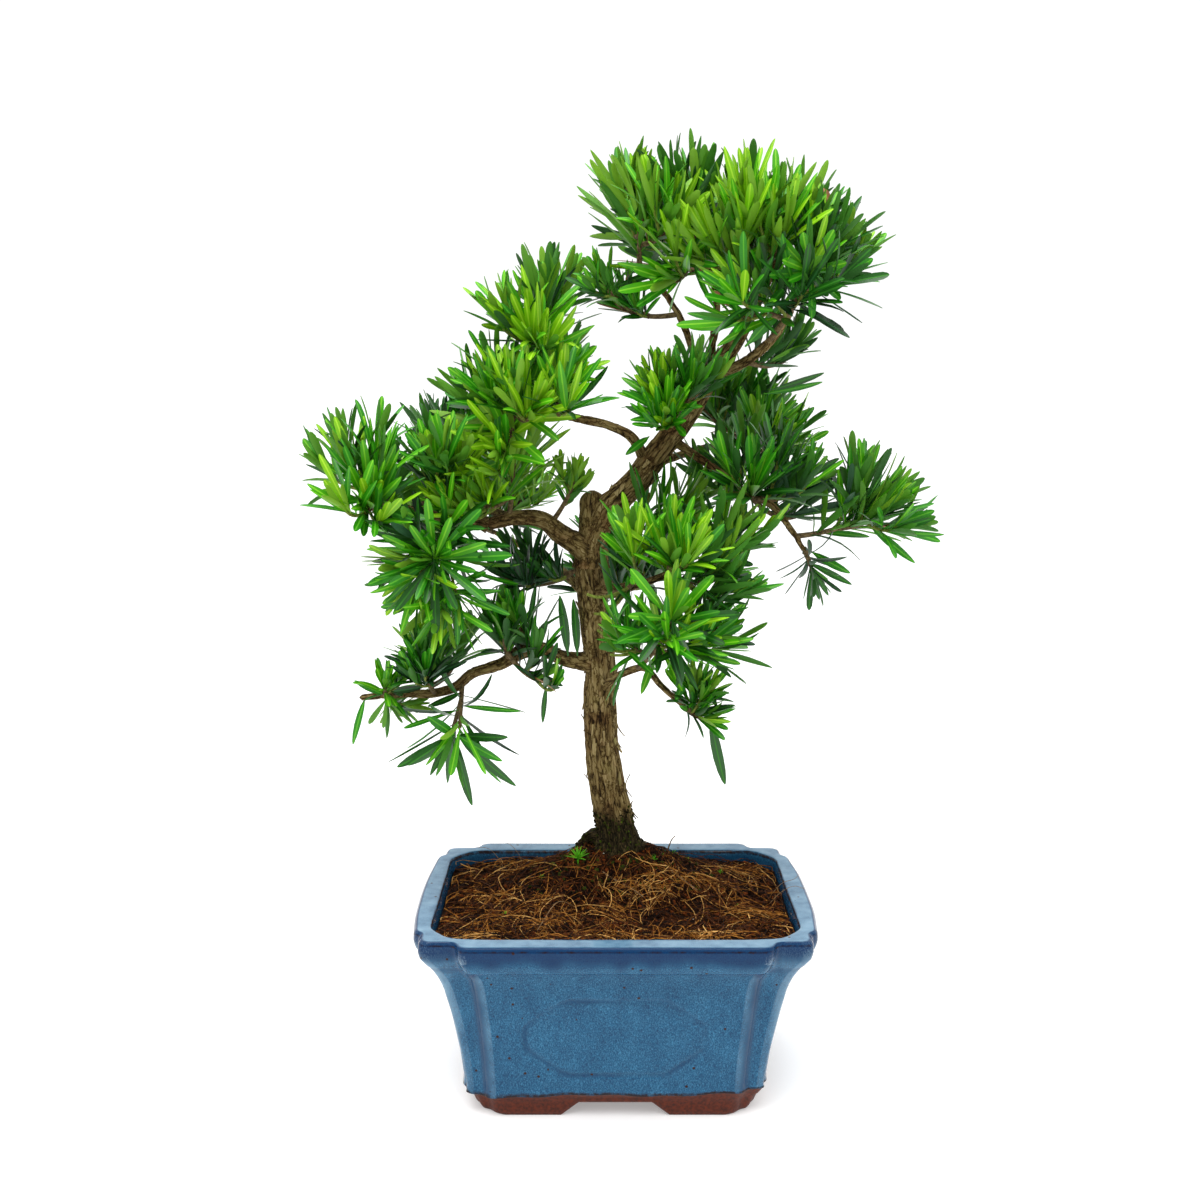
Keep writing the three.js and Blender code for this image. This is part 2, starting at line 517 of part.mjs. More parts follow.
// A shoot's leaves: a spiral up its tip, old ones leaning out and young ones standing along it.
function shootLeaves({ curve, heading, size: shootSize }, hasRoom, random) {
  const start = Math.max(0.3, 1 - LEAFY_LENGTH / curve.getLength());
  const side = new THREE.Vector3().crossVectors(heading, new THREE.Vector3(0.3, 0.9, 0.3)).normalize();
  const spin = random() * 2 * Math.PI;
  const leaves = [];
  for (let i = 0; i < LEAVES_ON_SHOOT; i += 1) {
    const share = i / (LEAVES_ON_SHOOT - 1);
    const out = side.clone().applyAxisAngle(heading, spin + i * GOLDEN_ANGLE);
    const foot = curve.getPointAt(THREE.MathUtils.lerp(start, 0.99, share));
    const age = 0.78 + 0.3 * Math.sin(Math.PI * (0.2 + 0.7 * share));
    const size = shootSize * age * (0.92 + 0.16 * random());
    const lean = THREE.MathUtils.lerp(LEAN_OLD, LEAN_YOUNG, share) + 10 * (random() - 0.5);
    const placed = LEAF_TRIES.map(([shorter, closer]) => {
      const angle = THREE.MathUtils.degToRad(lean * closer);
      const direction = heading.clone().multiplyScalar(Math.cos(angle)).addScaledVector(out, Math.sin(angle));
      const root = foot.clone().addScaledVector(direction, -LEAF_SUNK);
      return placeLeaf(root, direction, heading, LEAF_LENGTH * size * shorter, LEAF_WIDTH * size);
    }).find(hasRoom);
    if (placed) {
      leaves.push(placed);
    }
  }
  return leaves;
}

// A shoot's twig.
function twigSolid({ curve }) {
  const rings = Math.max(2, Math.round(curve.getLength() / TWIG_STEP));
  const radiusAt = (share) => THREE.MathUtils.lerp(TWIG_RADIUS, TWIG_TIP_RADIUS, share);
  return toSolid(rodGeometry(curve, radiusAt, TWIG_SIDES, rings));
}

// One mass: its twigs and the leaves that keep to its space and off the limbs, fused into one body.
function massSolid(own, others, limbLines, limbCopies, random) {
  const axes = own.map(shootAxes);
  const leaves = own.flatMap((shoot, i) => {
    const sisters = axes.filter((_, j) => j !== i);
    const hasRoom = ({ lines }) => keepsToSpace(lines.map(([, end]) => end), axes[i], sisters, others)
      && clearOfLimbs(lines, limbLines);
    return shootLeaves(shoot, hasRoom, random);
  });
  const pieces = [...own.map(twigSolid), ...leaves.map(({ matrix }) => LEAF.transform(matrix.elements))];
  return mainBody(Manifold.union(pieces).subtract(Manifold.union(limbCopies)));
}

const BARK = { color: 0x6f6150, roughness: 0.95, metalness: 0 };
const LEAF_GREEN = { color: 0x3f7d2c, roughness: 0.55, metalness: 0 };
const YOUNG_GREEN = { color: 0x7db32f, roughness: 0.55, metalness: 0 };
const GLAZE = { color: 0x4a7fa5, roughness: 0.2, metalness: 0 };
const SOIL = { color: 0x4d3322, roughness: 1, metalness: 0 };

function addPiece(parent, name, solid, finish) {
  const mesh = new THREE.Mesh(toGeometry(solid), new THREE.MeshStandardMaterial(finish));
  mesh.name = name;
  parent.add(mesh);
  return mesh;
}

// The pot and the soil that fills it.
function addPot(parent) {
  addPiece(parent, 'pot', potSolid(), GLAZE);
  addPiece(parent, 'soil', soilSolid(), SOIL);
}

// Trunk and boughs. Each bough is cut clear of every limb grown before it.
function addLimbs(parent) {
  addPiece(parent, 'trunk', trunkSolid(), BARK);
  const copies = [trunkSolid(TOUCH_GAP)];
  for (const bough of BOUGHS) {
    addPiece(parent, bough.name, mainBody(limbSolid(bough).subtract(Manifold.union(copies))), BARK);
    copies.push(limbSolid(bough, TOUCH_GAP));
  }
  return copies;
}

// The masses, each in its own space, with young and old growth in two greens.
function addFoliage(parent, limbCopies) {
  const limbs = [TRUNK, ...BOUGHS];
  const limbLines = [...limbs, STUB].flatMap(limbStretches);
  const random = seededRandom(2017);
  const shoots = MASSES.map((mass) => massShoots(mass, limbs, random));
  const axes = shoots.map((own) => own.flatMap(shootAxes));
  MASSES.forEach((mass, i) => {
    const others = axes.filter((_, j) => j !== i);
    const solid = massSolid(shoots[i], others, limbLines, limbCopies, random);
    addPiece(parent, mass.name, solid, i % 3 === 0 ? YOUNG_GREEN : LEAF_GREEN);
  });
}

const bonsai = new THREE.Group();
addPot(bonsai);
addFoliage(bonsai, addLimbs(bonsai));

// The whole plant is centred over the ground point that it is placed by.
const bounds = new THREE.Box3().setFromObject(bonsai);
const centre = bounds.getCenter(new THREE.Vector3());
bonsai.position.set(-centre.x, -centre.y, -bounds.min.z);

export default bonsai;
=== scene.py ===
import math

import bmesh
import bpy
import numpy as np
from mathutils import Matrix, Vector, noise


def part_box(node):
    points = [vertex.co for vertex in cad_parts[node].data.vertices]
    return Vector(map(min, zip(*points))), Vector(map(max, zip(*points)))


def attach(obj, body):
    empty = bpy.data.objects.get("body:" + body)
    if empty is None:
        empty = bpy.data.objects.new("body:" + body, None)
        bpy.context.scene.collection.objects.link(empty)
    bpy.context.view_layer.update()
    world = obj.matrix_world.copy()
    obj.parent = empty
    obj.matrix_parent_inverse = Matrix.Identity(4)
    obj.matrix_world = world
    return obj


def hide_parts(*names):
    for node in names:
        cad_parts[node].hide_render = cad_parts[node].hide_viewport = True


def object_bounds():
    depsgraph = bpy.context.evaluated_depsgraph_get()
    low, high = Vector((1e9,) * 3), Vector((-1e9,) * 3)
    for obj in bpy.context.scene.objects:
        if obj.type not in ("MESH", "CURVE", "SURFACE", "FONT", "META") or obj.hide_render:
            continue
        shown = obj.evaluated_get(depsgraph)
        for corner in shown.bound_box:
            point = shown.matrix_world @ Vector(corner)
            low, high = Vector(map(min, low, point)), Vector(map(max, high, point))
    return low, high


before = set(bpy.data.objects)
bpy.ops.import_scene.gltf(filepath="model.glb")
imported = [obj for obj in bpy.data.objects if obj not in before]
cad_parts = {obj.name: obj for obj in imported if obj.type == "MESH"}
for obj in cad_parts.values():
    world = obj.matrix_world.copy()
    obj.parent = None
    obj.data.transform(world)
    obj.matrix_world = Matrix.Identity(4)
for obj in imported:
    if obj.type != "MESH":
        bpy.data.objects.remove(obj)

cad_low, cad_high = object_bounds()

# ---------------------------------------------------------------------------------------------------------
# The pot: slip-cast stoneware with notched corners, a heavy rim and four feet. It is dipped in a blue glaze
# down to a line just above the feet, where the red-brown clay stays bare. The glaze runs thin and breaks to
# purple-brown along the edges, and pools deep blue under the rim.
# ---------------------------------------------------------------------------------------------------------
MM = 0.001
POT_HEIGHT = 101
GLAZE_LINE = 12.8
RIM_HALF_WIDTH = 98
RIM_HALF_DEPTH = 78
LIP_HALF_LENGTH = 77
SIDE_LIP_HALF_LENGTH = 55
SIDE_LIP_BOW = 7
LIP_PROUD = 4
LIP_FOOT = 85.5  # height of the lip's lower edge
NOTCH_DEPTH = 4
FRONT_LEAN_SHARE = 0.72
PANEL_TAPER = 0.42  # how much the panels narrow as the wall leans in
SIDE_PANEL_TAPER = 0.5
TAPER_START = 7
EDGE_ROUND = 3.6
CAVITY_HALF_WIDTH = 94
CAVITY_HALF_DEPTH = 65
CAVITY_CHAMFER = 13
CAVITY_FLOOR = 17
ARCH_HEIGHT = 7
ARCH_HALF_WIDTH = 28
SIDE_ARCH_HALF_WIDTH = 21
ARCH_SLOPE = 9
CARTOUCHE_MIDDLE = 45.5  # height of the moulded frame's middle
CARTOUCHE_HALF_WIDTH = 46
CARTOUCHE_HALF_HEIGHT = 21.5
GROOVE_WIDTH = 1.7
GROOVE_DEPTH = 0.9
# Where the painted highlight at each end of the front lip sits, and its size.
BEAD_HIGHLIGHT_LEVEL = 95
BEAD_HIGHLIGHT_RADIUS = 2.6
RUN_LENGTH = 3.5  # how far the pooled glaze runs down in tongues, and how wide and long each is
RUN_WIDTH = 9
RUN_HEIGHT = 40

pot_low, pot_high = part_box("pot")
POT_CENTRE = np.array([(pot_low.x + pot_high.x) / 2, (pot_low.y + pot_high.y) / 2, 0])


def linear(hex_code):
    """An sRGB hex colour as linear red, green, blue and alpha."""
    shares = [int(hex_code[i:i + 2], 16) / 255 for i in (1, 3, 5)]
    return [s / 12.92 if s <= 0.04045 else ((s + 0.055) / 1.055) ** 2.4 for s in shares] + [1.0]


def new_material(name, **sockets):
    """A material whose shader has these values on its own sockets."""
    material = bpy.data.materials.new(name)
    material.use_nodes = True
    shader = material.node_tree.nodes["Principled BSDF"]
    for socket, value in sockets.items():
        shader.inputs[socket.replace("_", " ")].default_value = value
    return material


def add_node(material, kind, inputs, stops=(), **settings):
    """A shader node with its settings and its inputs, each a value or another node's output."""
    node = material.node_tree.nodes.new(kind)
    for setting, value in settings.items():
        setattr(node, setting, value)
    for socket, value in inputs.items():
        if isinstance(value, bpy.types.NodeSocket):
            material.node_tree.links.new(value, node.inputs[socket])
        else:
            node.inputs[socket].default_value = value
    for i, (place, colour) in enumerate(stops):
        stop = node.color_ramp.elements[i] if i < 2 else node.color_ramp.elements.new(place)
        stop.position = place
        stop.color = linear(colour)
    return node


def link_shader(material, **links):
    """Links these outputs to the shader's sockets."""
    shader = material.node_tree.nodes["Principled BSDF"]
    for socket, output in links.items():
        material.node_tree.links.new(output, shader.inputs[socket.replace("_", " ")])


def smooth(low, high, value):
    """0 below low, 1 above high and a soft step between."""
    share = np.clip((value - low) / (high - low), 0, 1)
    return share * share * (3 - 2 * share)


def rounded_outline(corners):
    """A closed outline whose corners are rounded: each is (x, y, radius, steps to the next, edge wear)."""
    points, wear = [], []
    count = len(corners)
    for i, (x, y, radius, steps, worn) in enumerate(corners):
        here = np.array([x, y])
        before = np.array(corners[i - 1][:2]) - here
        after = np.array(corners[(i + 1) % count][:2]) - here
        start = here + before * min(radius / np.linalg.norm(before), 0.45)
        end = here + after * min(radius / np.linalg.norm(after), 0.45)
        for t in (0, 0.25, 0.5, 0.75, 1):
            points.append((1 - t) ** 2 * start + 2 * t * (1 - t) * here + t * t * end)
            wear.append(worn)
        x2, y2, radius2 = corners[(i + 1) % count][:3]
        there = np.array([x2, y2])
        stop = there + (here - there) * min(radius2 / np.linalg.norm(here - there), 0.45)
        for k in range(1, steps):
            points.append(end + (stop - end) * k / steps)
            wear.append(0)
    return np.array(points), np.array(wear)


def wall_outline(z, lean_in, lip):
    """The outside of the pot at one level: panels between notches, with posts at the corners."""
    post_x = RIM_HALF_WIDTH - lean_in
    panel_y = RIM_HALF_DEPTH - LIP_PROUD * (1 - lip) - FRONT_LEAN_SHARE * lean_in
    post_y = panel_y - NOTCH_DEPTH * (1 + lip)
    ear = 6 * np.clip((POT_HEIGHT - z) / 21, 0, 1) ** 2
    tapered = max(0, lean_in - TAPER_START)
    panel_x = LIP_HALF_LENGTH - ear - PANEL_TAPER * tapered
    side_y = SIDE_LIP_HALF_LENGTH - 0.6 * ear - SIDE_PANEL_TAPER * tapered
    bow = NOTCH_DEPTH + lip * (SIDE_LIP_BOW - NOTCH_DEPTH)
    quarter = [
        (panel_x, -panel_y, EDGE_ROUND, 4, 0.9), (panel_x + 3, -post_y, EDGE_ROUND, 8, 0),
        (post_x, -post_y, 5, 6, 0.7), (post_x, -side_y - 3, 3, 3, 0),
        (post_x + 0.55 * bow, -side_y, EDGE_ROUND, 16, 0.7),
        (post_x + 0.92 * bow, -0.5 * side_y, 12, 16, 0), (post_x + bow, 0, 12, 16, 0),
    ]
    back = [(x, -y, radius, steps, worn) for x, y, radius, steps, worn in quarter[:-1]][::-1]
    steps_back = [16, 3, 6, 8, 4, 150]
    back = [corner[:3] + (steps,) + corner[4:] for corner, steps in zip(back, steps_back)]
    right = quarter + [(x, y, radius, steps, worn) for x, y, radius, steps, worn in back]
    left = [(-x, -y, radius, steps, worn) for x, y, radius, steps, worn in right]
    return rounded_outline(right + left)


def cavity_reach(directions, lean_in):
    """How far the pot's hollow reaches from its middle in each direction at one level."""
    half_x = CAVITY_HALF_WIDTH - lean_in
    half_y = CAVITY_HALF_DEPTH - FRONT_LEAN_SHARE * lean_in
    cut = CAVITY_CHAMFER - 0.3 * lean_in
    right = [(half_x - cut, -half_y, 6, 20, 0), (half_x, -half_y + cut, 6, 90, 0),
             (half_x, half_y - cut, 6, 20, 0), (half_x - cut, half_y, 6, 150, 0)]
    points, _ = rounded_outline(right + [(-x, -y, *rest) for x, y, *rest in right])
    angles = np.arctan2(points[:, 1], points[:, 0])
    order = np.argsort(angles)
    reach = np.linalg.norm(points[order], axis=1)
    wanted = np.arctan2(directions[:, 1], directions[:, 0])
    return np.interp(wanted, angles[order], reach, period=2 * math.pi)


def arch_at(x, y):
    """Height of the opening between the feet over a point of the pot's underside."""
    front = np.clip((ARCH_HALF_WIDTH - np.abs(x)) / ARCH_SLOPE, 0, 1)
    side = np.clip((SIDE_ARCH_HALF_WIDTH - np.abs(y)) / ARCH_SLOPE, 0, 1)
    return ARCH_HEIGHT * np.maximum(front, side)


def cartouche_distance(x, z):
    """Distance from the moulded line on the panels, a long eight-sided frame."""
    x, z = np.broadcast_arrays(np.abs(x), abs(z - CARTOUCHE_MIDDLE))
    corner_cut = 0.594 * x + 0.805 * z - 32.5
    sides = np.array([x - CARTOUCHE_HALF_WIDTH, z - CARTOUCHE_HALF_HEIGHT, corner_cut])
    return np.abs(np.log(np.exp(sides).sum(axis=0)))


LEAN_BY_HEIGHT = [
    (0, 26), (8, 24.6), (11, 22.8), (14, 21.5), (24, 20.2), (31, 19.3), (38, 18), (45, 16.7), (52, 15.4),
    (60, 13.7), (67, 12), (71, 11.1), (75, 9.8), (79, 8.1), (83, 5.9), (87, 3.1), (91, 0.9), (95, 0),
    (101, -0.3),
]


def pot_rings():
    """The pot's rings of points, from the middle of its underside to the middle of its floor inside."""
    heights, leans = np.array(LEAN_BY_HEIGHT).T
    rings = []
    glazes = {"iron": [], "cobalt": [], "pale": []}

    def add_ring(points, z, iron=0, cobalt=0, pale=0):
        rings.append(np.column_stack([points, np.broadcast_to(z, len(points))]))
        for name, value in (("iron", iron), ("cobalt", cobalt), ("pale", pale)):
            glazes[name].append(np.broadcast_to(value, len(points)))

    def cut_corners(points, share):
        """The feet's corners are cut across, the more the lower."""
        past = np.maximum((np.abs(points[:, 0]) - 57) / 15 + (np.abs(points[:, 1]) - 40) / 16 - 1, 0)
        return points - np.sign(points) * (share * past * 4)[:, None]

    # The underside, from its middle outwards.
    foot, _ = wall_outline(0, leans[0], 0)
    foot = cut_corners(foot, 1)
    for share in (0.08, 0.3, 0.5, 0.62, 0.74, 0.86, 0.95, 0.985):
        under = foot * share
        add_ring(under, arch_at(*under.T))
    # The bare foot, up to the glaze line.
    for z in (0.5, 2.5, 5, 7.5, 9.5, 11):
        lean = np.interp(z, heights, leans) + 1.2 * max(0, 1 - z / 1.5)
        points = cut_corners(wall_outline(z, lean, 0)[0], 1 - z / GLAZE_LINE)
        arch = arch_at(*foot.T)
        add_ring(points, arch + z * (GLAZE_LINE - arch) / GLAZE_LINE)
    # The glazed wall and lip: a wavy lower edge, the moulded line, how the glaze breaks and pools, and
    # painted shade and highlights.
    glaze_ring = len(rings)
    levels = list(np.arange(13.6, 83, 0.9)) + list(np.arange(83, 99.6, 0.6)) + [100.1, 100.5, 100.8]
    for k, z in enumerate(levels):
        lip = float(smooth(LIP_FOOT - 2, LIP_FOOT + 1.6, z))
        belly = 0.9 * lip * math.sin(math.pi * float(np.clip((z - LIP_FOOT) / 15, 0, 1)))
        lean = np.interp(z, heights, leans) - belly + 2.6 * float(smooth(97.5, 102.5, z)) ** 2
        points, corner = wall_outline(z, lean - (0.7 if k == 1 else 0.3 if k < 3 else 0), lip)
        wave = 0.013 * points[:, 0] + 0.6 * np.sin(points[:, 0] / 13 + points[:, 1] / 17)
        wave += 0.35 * np.sin(points[:, 0] / 4.1 + points[:, 1] / 5.3)
        height = np.maximum(z, GLAZE_LINE + wave + 0.5 * k) if k > 2 else GLAZE_LINE + wave + 0.5 * k
        panel = smooth(LIP_HALF_LENGTH - 12, LIP_HALF_LENGTH - 16, np.abs(points[:, 0]))
        panel = panel * (np.abs(points[:, 1]) > 45)
        groove = np.exp(-(cartouche_distance(points[:, 0], z) / GROOVE_WIDTH) ** 2) * panel
        points[:, 1] -= np.sign(points[:, 1]) * GROOVE_DEPTH * groove
        # A soft deep-blue band just under the lip is painted shade, where the lip's step overhangs the wall.
        shade_under_lip = math.exp(-((z - LIP_FOOT + 0.8) / 2.2) ** 2)
        top_edge = float(smooth(98, 98.8, z) * smooth(100.4, 99.6, z))
        past_lip = np.abs(points[:, 0]) - LIP_HALF_LENGTH
        # Deep blue down the notch beside each panel: painted shade in the recess, with some pooled glaze.
        crease_shade_and_pool = np.exp(-((past_lip + 5 + PANEL_TAPER * max(0, lean - TAPER_START)) / 3) ** 2)
        iron = np.maximum(top_edge, corner * 0.6 * lip)
        iron = np.maximum(iron, 1.15 * (k < 3))
        broken = 0.7 + 0.3 * np.sin(points[:, 0] / 9 + z / 7)
        runs = [noise.noise(Vector((x / RUN_WIDTH, y / RUN_WIDTH, z / RUN_HEIGHT))) for x, y in points]
        pooled = smooth(LIP_FOOT, LIP_FOOT + 11.5, z + RUN_LENGTH * np.array(runs)) * lip
        cobalt = np.maximum(pooled, 0.62 * groove * broken)
        cobalt = np.maximum(cobalt, 0.75 * crease_shade_and_pool * (1 - lip) + 0.45 * shade_under_lip)
        # A bright spot at each end of the front lip is a painted highlight on its rounded corner, with a
        # little worn glaze.
        bead_highlight = np.hypot(past_lip + 1, z - BEAD_HIGHLIGHT_LEVEL) < BEAD_HIGHLIGHT_RADIUS
        near_front = np.abs(points[:, 1]) > RIM_HALF_DEPTH - 3
        # The posts are paler: worn glaze on their edges, and a painted highlight down each post.
        post_wear_and_highlight = smooth(LIP_HALF_LENGTH - 4, LIP_HALF_LENGTH + 8, np.abs(points[:, 0])) * (0.3 + 0.7 * corner)
        # Worn glaze at the corners, together with the posts' painted highlight.
        worn = np.maximum(post_wear_and_highlight, 0.42 * corner * (1 - lip))
        add_ring(points, height, iron, cobalt, np.maximum(1.7 * (bead_highlight & near_front), worn))
    # The rim's top, made pale as a painted reflection of the light above, then the hollow's wall and floor.
    outer = rings[-1][:, :2]
    for share, drop in ((0.12, 0), (0.3, 0.1), (0.5, 0.15), (0.7, 0.1), (0.88, 0.2), (0.96, 0.7), (1, 1.8)):
        reach = np.linalg.norm(outer, axis=1)
        inner = cavity_reach(outer, 0)
        points = outer * ((reach + (inner - reach) * share) / reach)[:, None]
        add_ring(points, POT_HEIGHT - drop, 1.15 * (share > 0.9), 0, 0.75 if share < 0.96 else 0)
    for z, lean in ((97, 0.5), (93, 1.1), (87, 2), (74, 6), (60, 10.8), (40, 17), (CAVITY_FLOOR + 5, 23)):
        inner = cavity_reach(outer, lean)
        points = outer * (inner / np.linalg.norm(outer, axis=1))[:, None]
        add_ring(points, z, 0, 0.5)
    for share in (0.92, 0.6, 0.3, 0.08):
        add_ring(points * share, CAVITY_FLOOR)
    return np.array(rings), glaze_ring, {name: np.array(values) for name, values in glazes.items()}


def set_attribute(mesh, name, values):
    """A number for each of the mesh's points, for its material to read."""
    attribute = mesh.attributes.new(name=name, type="FLOAT", domain="POINT")
    attribute.data.foreach_set("value", np.asarray(values, dtype=np.float32).ravel())


def take_finish(piece, slot, *nodes):
    """The piece rides on the plant's one body and stands for these nodes; slot is not used."""
    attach(piece, "root")
    if nodes:
        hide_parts(*nodes)


rings, glaze_ring, glazes = pot_rings()
ring_count, ring_size, _ = rings.shape
bpy.ops.object.select_all(action="DESELECT")
bpy.ops.mesh.primitive_grid_add(x_subdivisions=ring_size, y_subdivisions=ring_count - 1, size=2)
pot = bpy.context.object
pot.name = "glazed_pot"
pot.data.name = "glazed_pot"
flat = np.array([v.co for v in pot.data.vertices])
column = np.rint((flat[:, 0] + 1) / 2 * ring_size).astype(int) % ring_size
row = np.rint((flat[:, 1] + 1) / 2 * (ring_count - 1)).astype(int)
placed = rings[row, column] * MM + POT_CENTRE
wobble = np.array([noise.noise(Vector(p) / 0.03) for p in placed])
placed[:, :2] += (placed[:, :2] - POT_CENTRE[:2]) * (0.004 * wobble * (row > glaze_ring))[:, None]
pot.data.vertices.foreach_set("co", placed.ravel())
for name, values in glazes.items():
    set_attribute(pot.data, name, values[row, column])
set_attribute(pot.data, "bare", row < glaze_ring)
bpy.ops.object.mode_set(mode="EDIT")
bpy.ops.mesh.select_all(action="SELECT")
bpy.ops.mesh.remove_doubles(threshold=1e-6)
bpy.ops.mesh.select_all(action="SELECT")
bpy.ops.mesh.fill_holes(sides=0)
bpy.ops.mesh.select_all(action="SELECT")
bpy.ops.mesh.normals_make_consistent(inside=False)
bpy.ops.object.mode_set(mode="OBJECT")
bpy.ops.object.shade_smooth_by_angle(angle=math.radians(80))

# Stoneware glaze, fired glossy: a mid blue with fine dark vertical specks. It breaks to purple-brown where it
# runs thin over an edge and pools to deep cobalt under the rim. The deep blue is also painted shade under the
# lip and in the notches, and a pale tone is painted reflection on the rim's top and painted highlight on the
# posts and the lip's ends, with worn glaze on the edges.
glaze = new_material("blue stoneware glaze", Roughness=0.12, IOR=1.5, Specular_IOR_Level=0.2)
SPECK_WIDTH = 0.48 * MM  # the real specks are finer, and would be lost at arm's length
MOTTLE_WIDTH = 9 * MM
BREAK_WIDTH = 3.5 * MM
PINHOLE_GAP = 9 * MM
where = add_node(glaze, "ShaderNodeTexCoord", {}).outputs["Object"]
tall = add_node(glaze, "ShaderNodeMapping", {"Vector": where, "Scale": (1, 1, 0.5)}).outputs["Vector"]
specks = add_node(glaze, "ShaderNodeTexNoise", {"Vector": tall, "Scale": 1 / SPECK_WIDTH, "Detail": 3,
                                                "Roughness": 0.7})
mottle = add_node(glaze, "ShaderNodeTexNoise", {"Vector": tall, "Scale": 1 / MOTTLE_WIDTH, "Detail": 3})
speck_tone = add_node(glaze, "ShaderNodeMath", {0: mottle.outputs["Fac"], 1: 0.2,
                                                2: specks.outputs["Fac"]}, operation="MULTIPLY_ADD")
body_colour = add_node(glaze, "ShaderNodeValToRGB", {"Fac": speck_tone.outputs["Value"]},
                       stops=[(0.4, "#0b2c4c"), (0.62, "#205476"), (0.82, "#3f7fa0")])
breaks = add_node(glaze, "ShaderNodeTexNoise", {"Vector": where, "Scale": 1 / BREAK_WIDTH, "Detail": 6,
                                                "Roughness": 0.7})


def glaze_share(name, carried, low, high):
    """How much of a glaze tone shows: where its attribute is high, broken up by a pattern."""
    attribute = add_node(glaze, "ShaderNodeAttribute", {}, attribute_name=name)
    broken = add_node(glaze, "ShaderNodeMath", {0: attribute.outputs["Fac"], 1: carried},
                      operation="MULTIPLY")
    return add_node(glaze, "ShaderNodeMapRange", {"Value": broken.outputs["Value"], "From Min": low,
                                                  "From Max": high}).outputs["Result"]


# The pale tone: worn glaze on the edges, and painted reflection and highlights on the rim's top, posts and
# lip ends.
pale_colour = add_node(glaze, "ShaderNodeMix", {
    "Factor": glaze_share("pale", mottle.outputs["Fac"], 0.05, 0.7), "A": body_colour.outputs["Color"],
    "B": linear("#7b9aae")}, data_type="RGBA")
# The deep blue: pooled glaze, and painted shade under the lip and in the notches.
cobalt_colour = add_node(glaze, "ShaderNodeMix", {
    "Factor": glaze_share("cobalt", specks.outputs["Fac"], 0.1, 0.52), "A": pale_colour.outputs["Result"],
    "B": linear("#012a50")}, data_type="RGBA")
iron_colour = add_node(glaze, "ShaderNodeMix", {
    "Factor": glaze_share("iron", breaks.outputs["Fac"], 0.34, 0.62), "A": cobalt_colour.outputs["Result"],
    "B": linear("#1c1016")}, data_type="RGBA")
pinholes = add_node(glaze, "ShaderNodeTexVoronoi", {"Vector": where, "Scale": 1 / PINHOLE_GAP})
pinhole_share = add_node(glaze, "ShaderNodeMapRange", {"Value": pinholes.outputs["Distance"],
                                                       "From Min": 0.1, "From Max": 0.07})
finished = add_node(glaze, "ShaderNodeMix", {"Factor": pinhole_share.outputs["Result"],
                                             "A": iron_colour.outputs["Result"], "B": linear("#2a130c")},
                    data_type="RGBA")
orange_peel = add_node(glaze, "ShaderNodeBump", {"Height": mottle.outputs["Fac"], "Strength": 0.15,
                                                 "Distance": 0.6 * MM})
link_shader(glaze, Base_Color=finished.outputs["Result"], Normal=orange_peel.outputs["Normal"])

# Unglazed stoneware, fired red-brown: matt, with grog specks that break its skin.
clay = new_material("bare red-brown stoneware", Roughness=0.5, IOR=1.5, Specular_IOR_Level=0.22)
GROG_WIDTH = 1.4 * MM
where = add_node(clay, "ShaderNodeTexCoord", {}).outputs["Object"]
grog = add_node(clay, "ShaderNodeTexNoise", {"Vector": where, "Scale": 1 / GROG_WIDTH, "Detail": 4})
grog_colour = add_node(clay, "ShaderNodeValToRGB", {"Fac": grog.outputs["Fac"]},
                       stops=[(0.3, "#371307"), (0.7, "#642710")])
grog_relief = add_node(clay, "ShaderNodeBump", {"Height": grog.outputs["Fac"], "Strength": 0.35,
                                                "Distance": 0.3 * MM})
link_shader(clay, Base_Color=grog_colour.outputs["Color"], Normal=grog_relief.outputs["Normal"])

pot.data.materials.append(glaze)
pot.data.materials.append(clay)
bare = np.zeros(len(pot.data.vertices), dtype=np.float32)
pot.data.attributes["bare"].data.foreach_get("value", bare)
for face in pot.data.polygons:
    face.material_index = int(any(bare[i] > 0.5 for i in face.vertices))
pot.data.attributes.remove(pot.data.attributes["bare"])
take_finish(pot, "glaze", "pot")

# ---------------------------------------------------------------------------------------------------------
# The soil: a damp mix of peat and chopped coconut fibre, heaped up round the trunk's foot and a finger's
# breadth under the rim at the walls. Crumbs and loose fibres lie on it, and moss has started near the trunk.
# ---------------------------------------------------------------------------------------------------------
SOIL_EDGE = 93
GROUND = 117
MOUND_WIDTH = 46
MOUND_DEPTH = 32
MOUND_X = 2
MOUND_Y = 24
SOIL_HALF_WIDTH = 92.6
SOIL_HALF_DEPTH = 64.2
SOIL_UNDERSIDE = 70
scatter = np.random.default_rng(63)


def lumps(points, width):
    """Smooth noise between -1 and 1 over points in millimetres, with lumps this wide."""
    return np.array([noise.noise(Vector(p) / width) for p in points])


def soil_height(x, y):
    """Height of the soil's surface: a mound, with clods, that sinks a little along the walls."""
    spread = ((x - MOUND_X) / MOUND_WIDTH) ** 2 + ((y - MOUND_Y) / MOUND_DEPTH) ** 2
    mound = np.minimum(SOIL_EDGE + (GROUND - SOIL_EDGE + 3) * np.exp(-spread), GROUND - 1.5)
    flat = np.column_stack([x, y, np.zeros(len(x))])
    clods = 1.5 * lumps(flat, 13) + 0.9 * lumps(flat + 40, 5) + 0.5 * lumps(flat + 80, 2.2)
    front = 2.5 * smooth(0, -SOIL_HALF_DEPTH, y)
    return mound + clods + front


